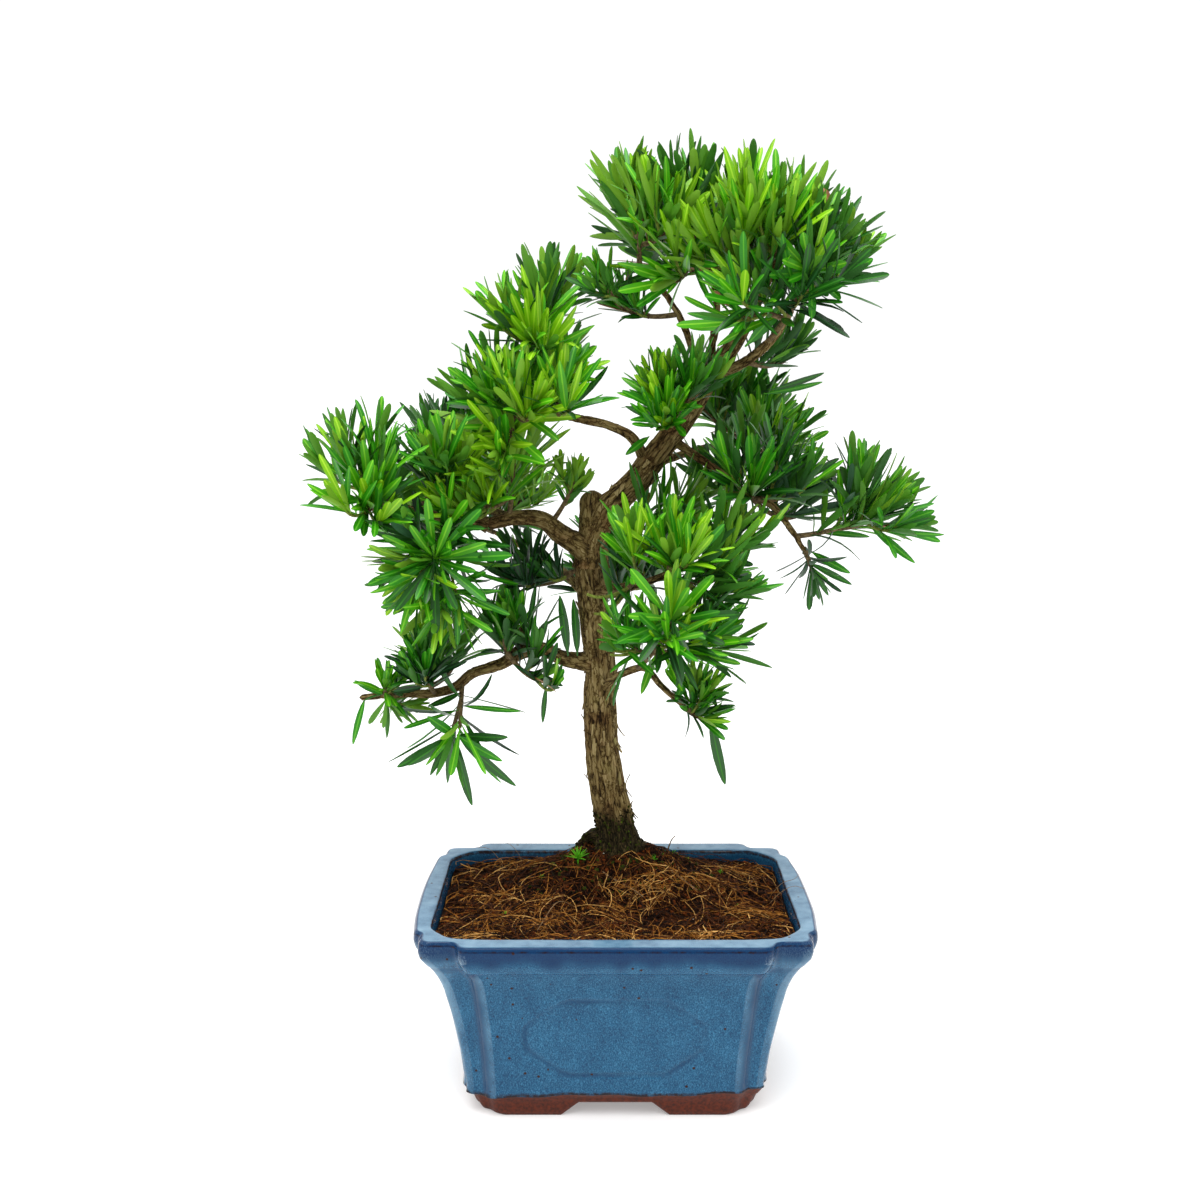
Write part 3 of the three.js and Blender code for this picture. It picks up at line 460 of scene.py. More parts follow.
bpy.ops.object.select_all(action="DESELECT")
bpy.ops.mesh.primitive_grid_add(x_subdivisions=186, y_subdivisions=130, size=2)
soil = bpy.context.object
soil.name = "coir_soil"
soil.data.name = "coir_soil"
flat = np.array([v.co for v in soil.data.vertices]) * [SOIL_HALF_WIDTH, SOIL_HALF_DEPTH, 1]
over = np.abs(flat[:, 0]) + np.abs(flat[:, 1]) - (SOIL_HALF_WIDTH + SOIL_HALF_DEPTH - CAVITY_CHAMFER)
flat[:, :2] -= np.sign(flat[:, :2]) * (np.maximum(over, 0) / 2)[:, None]
flat[:, 2] = soil_height(flat[:, 0], flat[:, 1])
soil.data.vertices.foreach_set("co", (flat * MM + POT_CENTRE).ravel())
bpy.ops.object.mode_set(mode="EDIT")
bpy.ops.mesh.select_all(action="DESELECT")
bpy.ops.mesh.select_mode(type="EDGE")
bpy.ops.mesh.select_non_manifold()
bpy.ops.mesh.extrude_region_move()
sunk = bmesh.from_edit_mesh(soil.data)
for vertex in sunk.verts:
    if vertex.select:
        vertex.co.z = SOIL_UNDERSIDE * MM
        vertex.co.x = POT_CENTRE[0] + (vertex.co.x - POT_CENTRE[0]) * 0.92
        vertex.co.y = POT_CENTRE[1] + (vertex.co.y - POT_CENTRE[1]) * 0.92
bmesh.update_edit_mesh(soil.data)
bpy.ops.mesh.edge_face_add()
bpy.ops.mesh.select_all(action="SELECT")
bpy.ops.mesh.remove_doubles(threshold=1e-7)
bpy.ops.mesh.normals_make_consistent(inside=False)
bpy.ops.object.mode_set(mode="OBJECT")
bpy.ops.object.shade_smooth_by_angle(angle=math.radians(60))

# Damp peat, coloured by its own relief: nearly black in its hollows as painted shade, red-brown on top where
# it has dried.
peat = new_material("damp peat and coir dust", Roughness=0.95, Specular_IOR_Level=0.08)
CRUMB_WIDTH = 1.1 * MM
PATCH_WIDTH = 22 * MM
where = add_node(peat, "ShaderNodeTexCoord", {}).outputs["Object"]
crumb = add_node(peat, "ShaderNodeTexNoise", {"Vector": where, "Scale": 1 / CRUMB_WIDTH, "Detail": 4,
                                              "Roughness": 0.7})
crumb_colour = add_node(peat, "ShaderNodeValToRGB", {"Fac": crumb.outputs["Fac"]},
                        stops=[(0.4, "#080301"), (0.58, "#2f1505"), (0.75, "#683511")])
patch = add_node(peat, "ShaderNodeTexNoise", {"Vector": where, "Scale": 1 / PATCH_WIDTH, "Detail": 2})
patch_colour = add_node(peat, "ShaderNodeValToRGB", {"Fac": patch.outputs["Fac"]},
                        stops=[(0.35, "#6b5a48"), (0.65, "#ffffff")])
peat_colour = add_node(peat, "ShaderNodeMix", {"Factor": 0.8, "A": crumb_colour.outputs["Color"],
                                               "B": patch_colour.outputs["Color"]},
                       data_type="RGBA", blend_type="MULTIPLY")
peat_relief = add_node(peat, "ShaderNodeBump", {"Height": crumb.outputs["Fac"], "Strength": 0.9,
                                                "Distance": 1.2 * MM})
link_shader(peat, Base_Color=peat_colour.outputs["Result"], Normal=peat_relief.outputs["Normal"])
soil.data.materials.append(peat)
take_finish(soil, "soil", "soil")


def unit(vectors):
    """Vectors of length 1 in the same directions."""
    return vectors / np.maximum(np.linalg.norm(vectors, axis=-1, keepdims=True), 1e-9)


def carried_frames(path):
    """Two directions across a path at each of its points, carried along it without twisting."""
    tangents = unit(np.gradient(path, axis=0))
    helper = np.eye(3)[np.argmin(np.abs(tangents[0]))]
    across = [unit(np.cross(tangents[0], helper))]
    for tangent in tangents[1:]:
        across.append(unit(across[-1] - tangent * np.dot(across[-1], tangent)))
    across = np.array(across)
    return across, np.cross(tangents, across)


def rod(path, radii, sides):
    """A closed rod along a path: its points, and its faces as lists of corners."""
    across, other = carried_frames(path)
    angles = np.arange(sides) * 2 * math.pi / sides
    radii = np.broadcast_to(np.asarray(radii, dtype=float).reshape(len(path), -1), (len(path), sides))
    spokes = across[:, None] * np.cos(angles)[:, None] + other[:, None] * np.sin(angles)[:, None]
    points = (path[:, None] + spokes * radii[..., None]).reshape(-1, 3)
    faces = []
    for ring in range(len(path) - 1):
        for k in range(sides):
            a, b = ring * sides + k, ring * sides + (k + 1) % sides
            faces.append((a, b, b + sides, a + sides))
    faces.append(tuple(range(sides))[::-1])
    faces.append(tuple(range(len(points) - sides, len(points))))
    return points, faces


def one_finish(points, faces):
    """A small body whose faces all take the first finish of the piece that it is joined to."""
    return points, faces, [0] * len(faces)


def joined_piece(name, parts, finishes):
    """One piece of many small closed bodies: parts are (points in mm, faces, material of each face)."""
    points, faces, slots, start = [], [], [], 0
    for part_points, part_faces, part_slots in parts:
        points.append(part_points)
        faces.extend(tuple(corner + start for corner in face) for face in part_faces)
        slots.extend(part_slots)
        start += len(part_points)
    mesh = bpy.data.meshes.new(name)
    mesh.from_pydata((np.concatenate(points) * MM + POT_CENTRE).tolist(), [], faces)
    mesh.polygons.foreach_set("material_index", slots)
    piece = bpy.data.objects.new(name, mesh)
    bpy.context.collection.objects.link(piece)
    for finish in finishes:
        mesh.materials.append(finish)
    bpy.ops.object.select_all(action="DESELECT")
    piece.select_set(True)
    bpy.context.view_layer.objects.active = piece
    bpy.ops.object.mode_set(mode="EDIT")
    bpy.ops.mesh.select_all(action="SELECT")
    bpy.ops.mesh.normals_make_consistent(inside=False)
    bpy.ops.object.mode_set(mode="OBJECT")
    bpy.ops.object.shade_smooth_by_angle(angle=math.radians(48))
    return piece


def grained(name, dark, light, width, **sockets):
    """A matt natural material: two tones in an uneven grain this many mm wide, with a little relief."""
    material = new_material(name, **sockets)
    where = add_node(material, "ShaderNodeTexCoord", {}).outputs["Object"]
    grain = add_node(material, "ShaderNodeTexNoise", {"Vector": where, "Scale": 1 / (width * MM),
                                                      "Detail": 3})
    tone = add_node(material, "ShaderNodeValToRGB", {"Fac": grain.outputs["Fac"]},
                    stops=[(0.35, dark), (0.65, light)])
    relief = add_node(material, "ShaderNodeBump", {"Height": grain.outputs["Fac"], "Strength": 0.4,
                                                   "Distance": 0.3 * width * MM})
    link_shader(material, Base_Color=tone.outputs["Color"], Normal=relief.outputs["Normal"])
    return material


TANGLES = np.array([(-60, -30), (-42, -14), (-66, 6), (-30, -36), (-8, -22), (30, 6), (58, 14), (70, -20),
                    (46, -48), (-70, -54), (2, -52), (-56, 40), (74, 42), (14, -4)])


def on_soil(count, gathered=0.0):
    """Random places on the soil, inside the pot's walls, a share of them gathered in tangles."""
    x = scatter.uniform(-SOIL_HALF_WIDTH + 2, SOIL_HALF_WIDTH - 2, count)
    y = scatter.uniform(-SOIL_HALF_DEPTH + 2, SOIL_HALF_DEPTH - 2, count)
    tangle = TANGLES[scatter.integers(0, len(TANGLES), count)]
    joins = scatter.random(count) < gathered
    x = np.where(joins, tangle[:, 0] + scatter.normal(0, 9, count), x)
    y = np.where(joins, tangle[:, 1] + scatter.normal(0, 5, count), y)
    x = np.clip(x, -SOIL_HALF_WIDTH + 2, SOIL_HALF_WIDTH - 2)
    y = np.clip(y, -SOIL_HALF_DEPTH + 2, SOIL_HALF_DEPTH - 2)
    over = np.abs(x) + np.abs(y) - (SOIL_HALF_WIDTH + SOIL_HALF_DEPTH - CAVITY_CHAMFER - 3)
    return x - np.sign(x) * np.maximum(over, 0) / 2, y - np.sign(y) * np.maximum(over, 0) / 2


def fibre(x, y, length, lift, radius):
    """One loose coir fibre: it lies on the soil in a bow and lifts a little off it between its ends."""
    steps = 6
    bend = scatter.uniform(-1.6, 1.6)
    turns = scatter.uniform(0, 2 * math.pi) + bend * np.linspace(-0.5, 0.5, steps)
    path = np.zeros((steps + 1, 3))
    path[1:, 0] = np.cumsum(np.cos(turns)) * length / steps
    path[1:, 1] = np.cumsum(np.sin(turns)) * length / steps
    path[:, :2] += [x - path[steps // 2, 0], y - path[steps // 2, 1]]
    path[:, 0] = np.clip(path[:, 0], -SOIL_HALF_WIDTH + 1, SOIL_HALF_WIDTH - 1)
    path[:, 1] = np.clip(path[:, 1], -SOIL_HALF_DEPTH + 1, SOIL_HALF_DEPTH - 1)
    arch = np.sin(np.linspace(0, math.pi, steps + 1))
    path[:, 2] = soil_height(path[:, 0], path[:, 1]) + radius + lift * arch
    return rod(path, np.full(len(path), radius), 3)


FIBRE_TINTS = {
    "straw": ("#9c6c2e", "#dcac66"), "tan": ("#6a3f15", "#a66e2c"), "brown": ("#2e1505", "#5a3010"),
    "dark": ("#0e0602", "#221005"),
}
FIBRE_COUNTS = {"straw": 230, "tan": 620, "brown": 1100, "dark": 700}
for tint, tones in FIBRE_TINTS.items():
    # Dry coconut fibre: a matt plant thread, dyed unevenly by the damp.
    thread = grained(f"{tint} coir fibre", *tones, 2.5, Roughness=0.8, Specular_IOR_Level=0.12)
    places_x, places_y = on_soil(FIBRE_COUNTS[tint], gathered={"straw": 0.75, "tan": 0.55}.get(tint, 0.1))
    parts = []
    for x, y in zip(places_x, places_y):
        lift = scatter.uniform(0, 3) * (1 + (scatter.random() < 0.05))
        parts.append(one_finish(*fibre(x, y, scatter.uniform(10, 38), lift, scatter.uniform(0.12, 0.25))))
    fibres = joined_piece(f"coir_fibres_{tint}", parts, [thread])
    take_finish(fibres, "soil")

bpy.ops.mesh.primitive_ico_sphere_add(subdivisions=1, radius=1)
crumb_ball = bpy.context.object
ball_points = np.array([v.co for v in crumb_ball.data.vertices])
ball_faces = [tuple(f.vertices) for f in crumb_ball.data.polygons]
bpy.data.objects.remove(crumb_ball)


def crumbs(name, finish, places, low, high, lift):
    """Small angular lumps of random size pressed into the soil at these places."""
    parts = []
    for x, y in zip(*places):
        shape = ball_points * scatter.uniform(0.6, 1.15, (len(ball_points), 1)) * scatter.uniform(0.6, 1.2, 3)
        size = scatter.uniform(low, high)
        z = soil_height(np.array([x]), np.array([y]))[0] + lift * size
        parts.append(one_finish(shape * size + [x, y, z], ball_faces))
    piece = joined_piece(name, parts, [finish])
    take_finish(piece, "soil")


crumbs("peat_crumbs", peat, on_soil(1500), 0.5, 2.1, 0.25)
# Coir pith: short corky crumbs, red-brown and matt.
pith = grained("red-brown coir pith", "#421c08", "#773c16", 0.6, Roughness=0.9, Specular_IOR_Level=0.08)
crumbs("pith_crumbs", pith, on_soil(1500), 0.4, 1.4, 0.35)
# Expanded mineral grains, white and matt, a few of them left on top.
perlite = grained("white perlite grains", "#c2bcae", "#efebe1", 0.4, Roughness=0.9)
crumbs("perlite_grains", perlite, on_soil(9), 0.5, 0.9, 0.4)
# Young moss: soft cushions, dark olive green, round the trunk's foot.
moss = grained("dark olive moss", "#1b2208", "#3d4917", 0.5, Roughness=1.0, Specular_IOR_Level=0.05)
MOSS_CUSHIONS = 420
moss_angle = scatter.uniform(0, 2 * math.pi, MOSS_CUSHIONS)
moss_reach = 15 + 26 * scatter.random(MOSS_CUSHIONS) ** 1.6
moss_x = MOUND_X + 1.4 * moss_reach * np.cos(moss_angle)
moss_y = MOUND_Y + moss_reach * np.sin(moss_angle)
crumbs("moss_cushions", moss, (moss_x, moss_y), 0.5, 1.5, 0.35)


def smooth_path(bends):
    """A curve that runs through all these places and leaves and reaches each one evenly."""
    bends = np.vstack([2 * bends[0] - bends[1], bends, 2 * bends[-1] - bends[-2]])
    points = []
    for before, start, end, after in zip(bends, bends[1:], bends[2:], bends[3:]):
        gaps = [np.linalg.norm(b - a) ** 0.5 for a, b in ((before, start), (start, end), (end, after))]
        leave = (start - before) / gaps[0] - (end - before) / (gaps[0] + gaps[1]) + (end - start) / gaps[1]
        arrive = (end - start) / gaps[1] - (after - start) / (gaps[1] + gaps[2]) + (after - end) / gaps[2]
        leave, arrive = leave * gaps[1], arrive * gaps[1]
        for t in np.arange(24) / 24:
            points.append(start + leave * t + (3 * (end - start) - 2 * leave - arrive) * t ** 2
                          + (2 * (start - end) + leave + arrive) * t ** 3)
    return np.array(points + [bends[-2]])


def even_path(path, step=None, count=None):
    """The same path as points at even distances: this many, or about a step apart."""
    along = np.concatenate([[0], np.cumsum(np.linalg.norm(np.diff(path, axis=0), axis=1))])
    count = count or max(3, round(along[-1] / step) + 1)
    wanted = np.linspace(0, along[-1], count)
    return np.column_stack([np.interp(wanted, along, path[:, axis]) for axis in range(3)])


def loose_stick(bends, thick, thin):
    """A thin stick or stalk through these places, thinner at its end."""
    path = even_path(smooth_path(np.array(bends, dtype=float)), count=14)
    return one_finish(*rod(path, np.linspace(thick, thin, len(path)), 6))


# Dead twigs: dry, grey-brown and bare, dropped on the soil. Some coir fibres stand up at the walls.
dead_wood = grained("dry dead twig", "#5a422c", "#967a58", 1.2, Roughness=0.85, Specular_IOR_Level=0.1)
sticks = [
    loose_stick([(14, 26, 113), (24, 16, 112), (36, 6, 106), (45, 0, 101)], 0.8, 0.4),
    loose_stick([(30, 40, 104), (31, 41, 110), (33, 40, 116), (35, 41, 118)], 0.5, 0.3),
    loose_stick([(-10, 10, 111), (-3, 0, 109), (8, -6, 105), (15, -14, 103)], 0.55, 0.3),
    loose_stick([(-62, 44, 94), (-66, 48, 101), (-72, 50, 107), (-80, 50, 108)], 0.2, 0.1),
    loose_stick([(-52, 50, 93), (-55, 54, 102), (-61, 56, 108), (-67, 55, 110)], 0.2, 0.1),
    loose_stick([(84, -2, 94), (90, -3, 101), (97, -4, 105), (103, -3, 103)], 0.22, 0.1),
    loose_stick([(86, 8, 95), (92, 6, 103), (99, 5, 106), (102, 6, 110)], 0.2, 0.1),
    loose_stick([(-40, -48, 98), (-30, -40, 110), (-22, -30, 104), (-20, -22, 99)], 0.22, 0.12),
]
stick_piece = joined_piece("dead_twigs", sticks, [dead_wood])
take_finish(stick_piece, "soil")

# Weed seedlings: soft, wet-looking young leaves, bright green, in a star of narrow blades.
seedling_green = grained("bright seedling leaf", "#459c0c", "#68bc1c", 2, Roughness=0.5,
                         Specular_IOR_Level=0.3)
SEEDLINGS = [  # place, leaf length and number of leaves
    (-20, 13, 8, 20), (-40, 12, 2.6, 7), (-58, -20, 2, 5), (34, 36, 3.4, 8), (42, 38, 2.4, 6),
    (22, 14, 2.6, 6), (60, 30, 2.2, 6), (-34, 20, 2.2, 6), (27, 22, 2, 5), (66, -8, 1.8, 5),
]
blades = []
for x, y, size, count in SEEDLINGS:
    foot = np.array([x, y, soil_height(np.array([x]), np.array([y]))[0]])
    for k in range(count):
        turn = k * 2.4 + scatter.uniform(-0.2, 0.2)
        rise = math.radians(78 - 66 * k / count)
        out = np.array([math.cos(turn) * math.cos(rise), math.sin(turn) * math.cos(rise), math.sin(rise)])
        crown = foot + [0, 0, 0.35 * size]
        path = crown + out * np.linspace(0, size, 5)[:, None]
        path[:, 2] -= 0.12 * size * np.linspace(0, 1, 5) ** 2
        breadths = np.array([0.2, 0.3, 0.28, 0.2, 0.06]) * (0.4 + size / 14)
        blades.append(one_finish(*rod(path, breadths, 4)))
    stalk = foot + np.outer([-1, 0.2 * size, 0.4 * size], [0, 0, 1])
    blades.append(one_finish(*rod(stalk, np.full(3, 0.4), 5)))
seedlings = joined_piece("weed_seedlings", blades, [seedling_green])
take_finish(seedlings, "soil")

# ---------------------------------------------------------------------------------------------------------
# Trunk and boughs: living wood under old fibrous bark that splits along the grain and lifts in narrow
# flakes. The foot flares into surface roots, dark with moss. Each bough swells where it leaves its limb.
# ---------------------------------------------------------------------------------------------------------
TRUNK = {
    "name": "trunk",
    "radii": (10.8, 7.1, 6.7, 6, 4.8), "places": (0, 0.6, 0.8, 0.92, 1),  # each radius and where it lies
    "bends": [(2.5, 26, 104), (2, 26, 120), (-1.5, 25, 140), (-5.5, 24, 164), (-8, 23, 190), (-8, 22, 222),
              (-12, 20, 256), (-14, 18, 280), (-9, 17, 297), (-2, 16, 309), (11, 15, 322), (21, 14, 335),
              (37, 11, 357), (51, 8, 381)],
}
STUB = {"radii": (6.4, 6.6, 6.4), "bends": [(-12, 18, 276), (-12, 19, 296), (-12, 20, 317)]}
BOUGH_BENDS = [  # name, radius at its foot, past its middle and at its tip, and the places it runs through
    ("low_left_inner", (4.2, 3.9, 3.4), [(-12, 22, 223), (-27, 18, 226), (-38, 12, 232), (-47, 8, 234)]),
    ("low_left_outer", (3.3, 2.3, 1.5),
     [(-47, 8, 234), (-61, 3, 226), (-75, 0, 222), (-84, -2, 215), (-95, -4, 212), (-111, -6, 212),
      (-134, -10, 211)]),
    ("mid_left", (5.2, 4.4, 3),
     [(-14, 18, 285), (-28, 14, 294), (-38, 10, 302), (-50, 6, 304), (-67, 0, 301)]),
    ("far_left", (2.6, 2, 1.4), [(-67, 0, 301), (-95, -8, 307), (-124, -14, 316)]),
    ("mid_left_back", (2.2, 1.8, 1.4), [(-56, 4, 304), (-78, 30, 311), (-96, 56, 318)]),
    ("upper_left", (2.7, 2.1, 1.4),
     [(17, 14, 332), (8, 12, 346), (-4, 10, 352), (-25, 4, 357), (-48, -4, 366)]),
    ("upper_left_riser", (1.9, 1.6, 1.3), [(-30, 3, 358), (-35, 6, 375), (-39, 8, 391)]),
    ("right", (2.2, 1.8, 1.3),
     [(29, 13, 345), (45, 8, 334), (54, 4, 328), (69, -3, 317), (80, -6, 312), (90, -8, 300),
      (98, -10, 288)]),
    ("top", (4.1, 3.2, 2),
     [(51, 8, 381), (59, 6, 391), (66, 4, 403), (73, 1, 418), (79, -1, 431), (85, 0, 442)]),
    ("top_right", (2.7, 2.3, 1.7),
     [(49, 9, 378), (60, 6, 381), (72, -4, 389), (81, -10, 399), (88, -14, 411)]),
    ("top_centre", (2, 1.7, 1.3),
     [(47, 9, 374), (49, 11, 388), (52, 12, 402), (51, 12, 423), (41, 6, 443)]),
    ("top_left", (1.9, 1.6, 1.3), [(41, 10, 363), (42, 8, 380), (34, 4, 405), (24, 1, 420), (12, 0, 433)]),
    ("front", (2.5, 2, 1.6), [(-11, 20, 263), (3, -8, 269), (17, -25, 275), (26, -33, 280)]),
    ("front_low", (2.3, 1.8, 1.3),
     [(-8, 22, 208), (4, -2, 222), (16, -12, 227), (23, -18, 220), (35, -24, 210)]),
    ("back_low", (2.4, 1.9, 1.5), [(-9, 22, 234), (-2, 60, 245), (7, 84, 252)]),
    ("back_left", (2.5, 2, 1.4), [(-12, 20, 256), (-30, 55, 269), (-54, 80, 280), (-70, 92, 286)]),
    ("back_right", (2.3, 1.8, 1.4), [(19, 14, 331), (47, 50, 337), (68, 76, 340)]),
    ("back_top", (2.2, 1.8, 1.4), [(45, 10, 370), (53, 45, 396), (57, 66, 420)]),
]
BOUGHS = [{"name": f"bough_{name}", "radii": radii, "bends": bends} for name, radii, bends in BOUGH_BENDS]
FLARE_REACH = 4
FLARE_HEIGHT = 6
FLARE_ROOTS = 5
ROOT_BENDS = [  # radii and places of the surface roots to the left, the right, the front and the back
    ((4, 3.6, 2.2), [(-4, 31, 119), (-11, 33, 120), (-17, 35, 114), (-23, 37, 104)]),
    ((4.6, 3.6, 2), [(7, 28, 116), (15, 29, 113), (25, 28, 107), (34, 26, 100)]),
    ((4.2, 3.2, 2), [(2, 22, 116), (-3, 13, 112), (-7, 4, 105), (-9, -3, 98)]),
    ((4.6, 3.4, 2), [(5, 32, 116), (9, 41, 111), (12, 50, 103)]),
]
ROOTS = [{"radii": radii, "bends": bends} for radii, bends in ROOT_BENDS]


def limb_path(limb, step):
    """Points along a limb's centre line, about a step apart."""
    return even_path(smooth_path(np.array(limb["bends"], dtype=float)), step=step)


def taper(limb, shares):
    """A limb's radius, from the foot to the tip."""
    return np.interp(shares, limb.get("places", (0, 0.6, 1)), limb["radii"])


def flare(height, angle):
    """How far the trunk's foot spreads: a ring of roots that runs out as it nears the ground."""
    roots = np.abs(np.cos(FLARE_ROOTS / 2 * angle + 0.4))
    return FLARE_REACH * np.exp(-np.maximum(height, 0) / FLARE_HEIGHT) * (0.3 + 0.7 * roots)


# The noise that bends the plates starts from the same place in every run.
noise.seed_set(2017)


def bark_plates(points, width):
    """The cracks between plates of bark (0 in a crack, 1 on a plate) and how high each plate stands."""
    cracks, heights = [], []
    for point in points / width:
        x, y, z = point
        warp = 0.6 * noise.noise_vector(Vector((x * 1.3, y * 1.3, z * 1.3 + 7)))
        gaps, cells = noise.voronoi(Vector((x, y, z)) + warp)
        cracks.append(gaps[1] - gaps[0])
        heights.append(noise.noise(cells[0] * 7.3))
    return smooth(0.01, 0.17, np.array(cracks)), np.array(heights)


OLD_PLATE_WIDTH = 4.4  # on the trunk, its stub and the roots, where the bark has split for longest
YOUNG_PLATE_WIDTH = 2.6
THREAD_WIDTH = 0.9
SWELLING_WIDTH = 11


def bark_rod(limb, sides, step, depth):
    """A limb with its bark: ridges along the grain, lifted plates and shallow swellings."""
    path = limb_path(limb, step)
    if limb is TRUNK:
        path = path[path[:, 2] > GROUND - 6]
    along = np.arange(len(path)) * np.linalg.norm(path[1] - path[0])
    angles = np.arange(sides) * 2 * math.pi / sides
    shares = along / along[-1]
    if limb is TRUNK:
        shares = 0.04 + 0.96 * shares
    radii = np.repeat(taper(limb, shares)[:, None], sides, axis=1)
    if limb is TRUNK:
        radii += flare(path[:, 2:] - GROUND, angles[None, :] + 0.6)
    else:
        radii *= 1 + 0.7 * np.exp(-along / (1.6 * limb["radii"][0]))[:, None]
    to_end = np.clip((along[-1] - along) / limb["radii"][-1], 0.02, 1)
    rounded = np.sqrt(1 - (1 - to_end) ** 2)[:, None]
    grain = np.stack([radii * np.cos(angles), radii * np.sin(angles),
                      np.broadcast_to(along[:, None], radii.shape)], -1)
    flat = grain.reshape(-1, 3)
    shift = 37.0 * len(limb["bends"]) + limb["bends"][0][0]
    plate_width = YOUNG_PLATE_WIDTH if limb in BOUGHS else OLD_PLATE_WIDTH
    cracks, plates = bark_plates(flat * [1, 1, 0.22] + shift, plate_width)
    threads = lumps(flat * [1, 1, 0.12] + 5 * shift, THREAD_WIDTH)
    swell = lumps(flat * [1, 1, 0.6] + 3 * shift, SWELLING_WIDTH)
    relief = (0.8 * cracks + 0.26 * plates + 0.3 * threads - 0.56).reshape(radii.shape)
    swelling = 0.3 if limb in ROOTS else 0.09
    radii = (radii * (1 + swelling * swell.reshape(radii.shape)) + depth * relief) * rounded
    points, faces = rod(path, radii, sides)
    return points, faces, flat, relief.ravel()


bark_parts, grain_parts, relief_parts = [], [], []
TRUNK_SIDES = 88
# Each limb, how many sides it has, the step between its rings and the depth of its bark.
limbs = [(TRUNK, TRUNK_SIDES, 0.95, 0.92), (STUB, 44, 1.1, 0.8)]
limbs += [(bough, 22, 1.4, 0.5) for bough in BOUGHS] + [(root, 36, 1, 1.5) for root in ROOTS]
for limb, sides, step, depth in limbs:
    points, faces, grain, relief = bark_rod(limb, sides, step, depth)
    bark_parts.append(one_finish(points, faces))
    grain_parts.append(grain + 50 * len(grain_parts))
    relief_parts.append(relief)

# Old fibrous bark: weathered grey-brown on its ridges, nearly black in its cracks, mossy at the foot.
bark = new_material("fibrous grey-brown bark", Roughness=0.92, Specular_IOR_Level=0.1)
FIBRE_WIDTH = 0.7 * MM
BARK_PATCH = 16 * MM
CRACK_GAP = 2.8 * MM
CRACK_BEND = 0.003
STAIN_TOP = 156 * MM  # the damp, mossy stain fades out up to here and is full below the next height
STAIN_FULL = 144 * MM
grain_at = add_node(bark, "ShaderNodeAttribute", {}, attribute_name="grain").outputs["Vector"]
drawn = add_node(bark, "ShaderNodeMapping", {"Vector": grain_at, "Scale": (1, 1, 0.12)}).outputs["Vector"]
fibres_along = add_node(bark, "ShaderNodeTexNoise", {"Vector": drawn, "Scale": 1 / FIBRE_WIDTH, "Detail": 5,
                                                     "Roughness": 0.65})
height_of = add_node(bark, "ShaderNodeAttribute", {}, attribute_name="relief")
cracked = add_node(bark, "ShaderNodeMath", {0: height_of.outputs["Fac"], 1: fibres_along.outputs["Fac"]},
                   operation="ADD")
bark_colour = add_node(bark, "ShaderNodeValToRGB", {"Fac": cracked.outputs["Value"]},
                       stops=[(0.2, "#1c150b"), (0.38, "#5e5032"), (0.58, "#81734e"), (0.88, "#a69a74")])
bark_patches = add_node(bark, "ShaderNodeTexNoise", {"Vector": grain_at, "Scale": 1 / BARK_PATCH,
                                                     "Detail": 3})
crack_noise = add_node(bark, "ShaderNodeTexNoise", {"Vector": grain_at, "Scale": 1 / CRACK_GAP, "Detail": 2})
long_plates = add_node(bark, "ShaderNodeMapping", {"Vector": grain_at, "Scale": (1, 1, 0.17)})
crack_bend = add_node(bark, "ShaderNodeMix", {"Factor": CRACK_BEND, "A": long_plates.outputs["Vector"],
                                              "B": crack_noise.outputs["Color"]}, data_type="VECTOR")
crack_lines = add_node(bark, "ShaderNodeTexVoronoi", {"Vector": crack_bend.outputs["Result"],
                                                      "Scale": 1 / CRACK_GAP}, feature="DISTANCE_TO_EDGE")
crack_tone = add_node(bark, "ShaderNodeValToRGB", {"Fac": crack_lines.outputs["Distance"]},
                      stops=[(0.0, "#6a5f4c"), (0.05, "#b5ac99"), (0.12, "#ffffff")])
patch_tone = add_node(bark, "ShaderNodeValToRGB", {"Fac": bark_patches.outputs["Fac"]},
                      stops=[(0.3, "#c4977a"), (0.46, "#f0e3cd"), (0.58, "#fff4df"), (0.7, "#c8c892")])
toned = add_node(bark, "ShaderNodeMix", {"Factor": 0.75, "A": bark_colour.outputs["Color"],
                                         "B": patch_tone.outputs["Color"]},
                 data_type="RGBA", blend_type="MULTIPLY")
lined = add_node(bark, "ShaderNodeMix", {"Factor": 0.9, "A": toned.outputs["Result"],
                                         "B": crack_tone.outputs["Color"]},
                 data_type="RGBA", blend_type="MULTIPLY")
where = add_node(bark, "ShaderNodeTexCoord", {}).outputs["Object"]
up_from = add_node(bark, "ShaderNodeSeparateXYZ", {"Vector": where})
ragged = add_node(bark, "ShaderNodeMath", {0: bark_patches.outputs["Fac"], 1: 0.03, 2: up_from.outputs["Z"]},
                  operation="MULTIPLY_ADD")
foot_share = add_node(bark, "ShaderNodeMapRange", {"Value": ragged.outputs["Value"], "From Min": STAIN_TOP,
                                                   "From Max": STAIN_FULL})
moss_stain = add_node(bark, "ShaderNodeValToRGB", {"Fac": fibres_along.outputs["Fac"]},
                      stops=[(0.34, "#0b0904"), (0.52, "#262010"), (0.68, "#54472c")])
foot_colour = add_node(bark, "ShaderNodeMix", {
    "Factor": foot_share.outputs["Result"], "A": lined.outputs["Result"],
    "B": moss_stain.outputs["Color"]}, data_type="RGBA")
bark_relief = add_node(bark, "ShaderNodeBump", {"Height": fibres_along.outputs["Fac"], "Strength": 0.8,
                                                "Distance": 0.5 * MM})
link_shader(bark, Base_Color=foot_colour.outputs["Result"], Normal=bark_relief.outputs["Normal"])

trunk_points = bark_parts[0][0].reshape(-1, TRUNK_SIDES, 3)
trunk_middle = trunk_points.mean(axis=1)


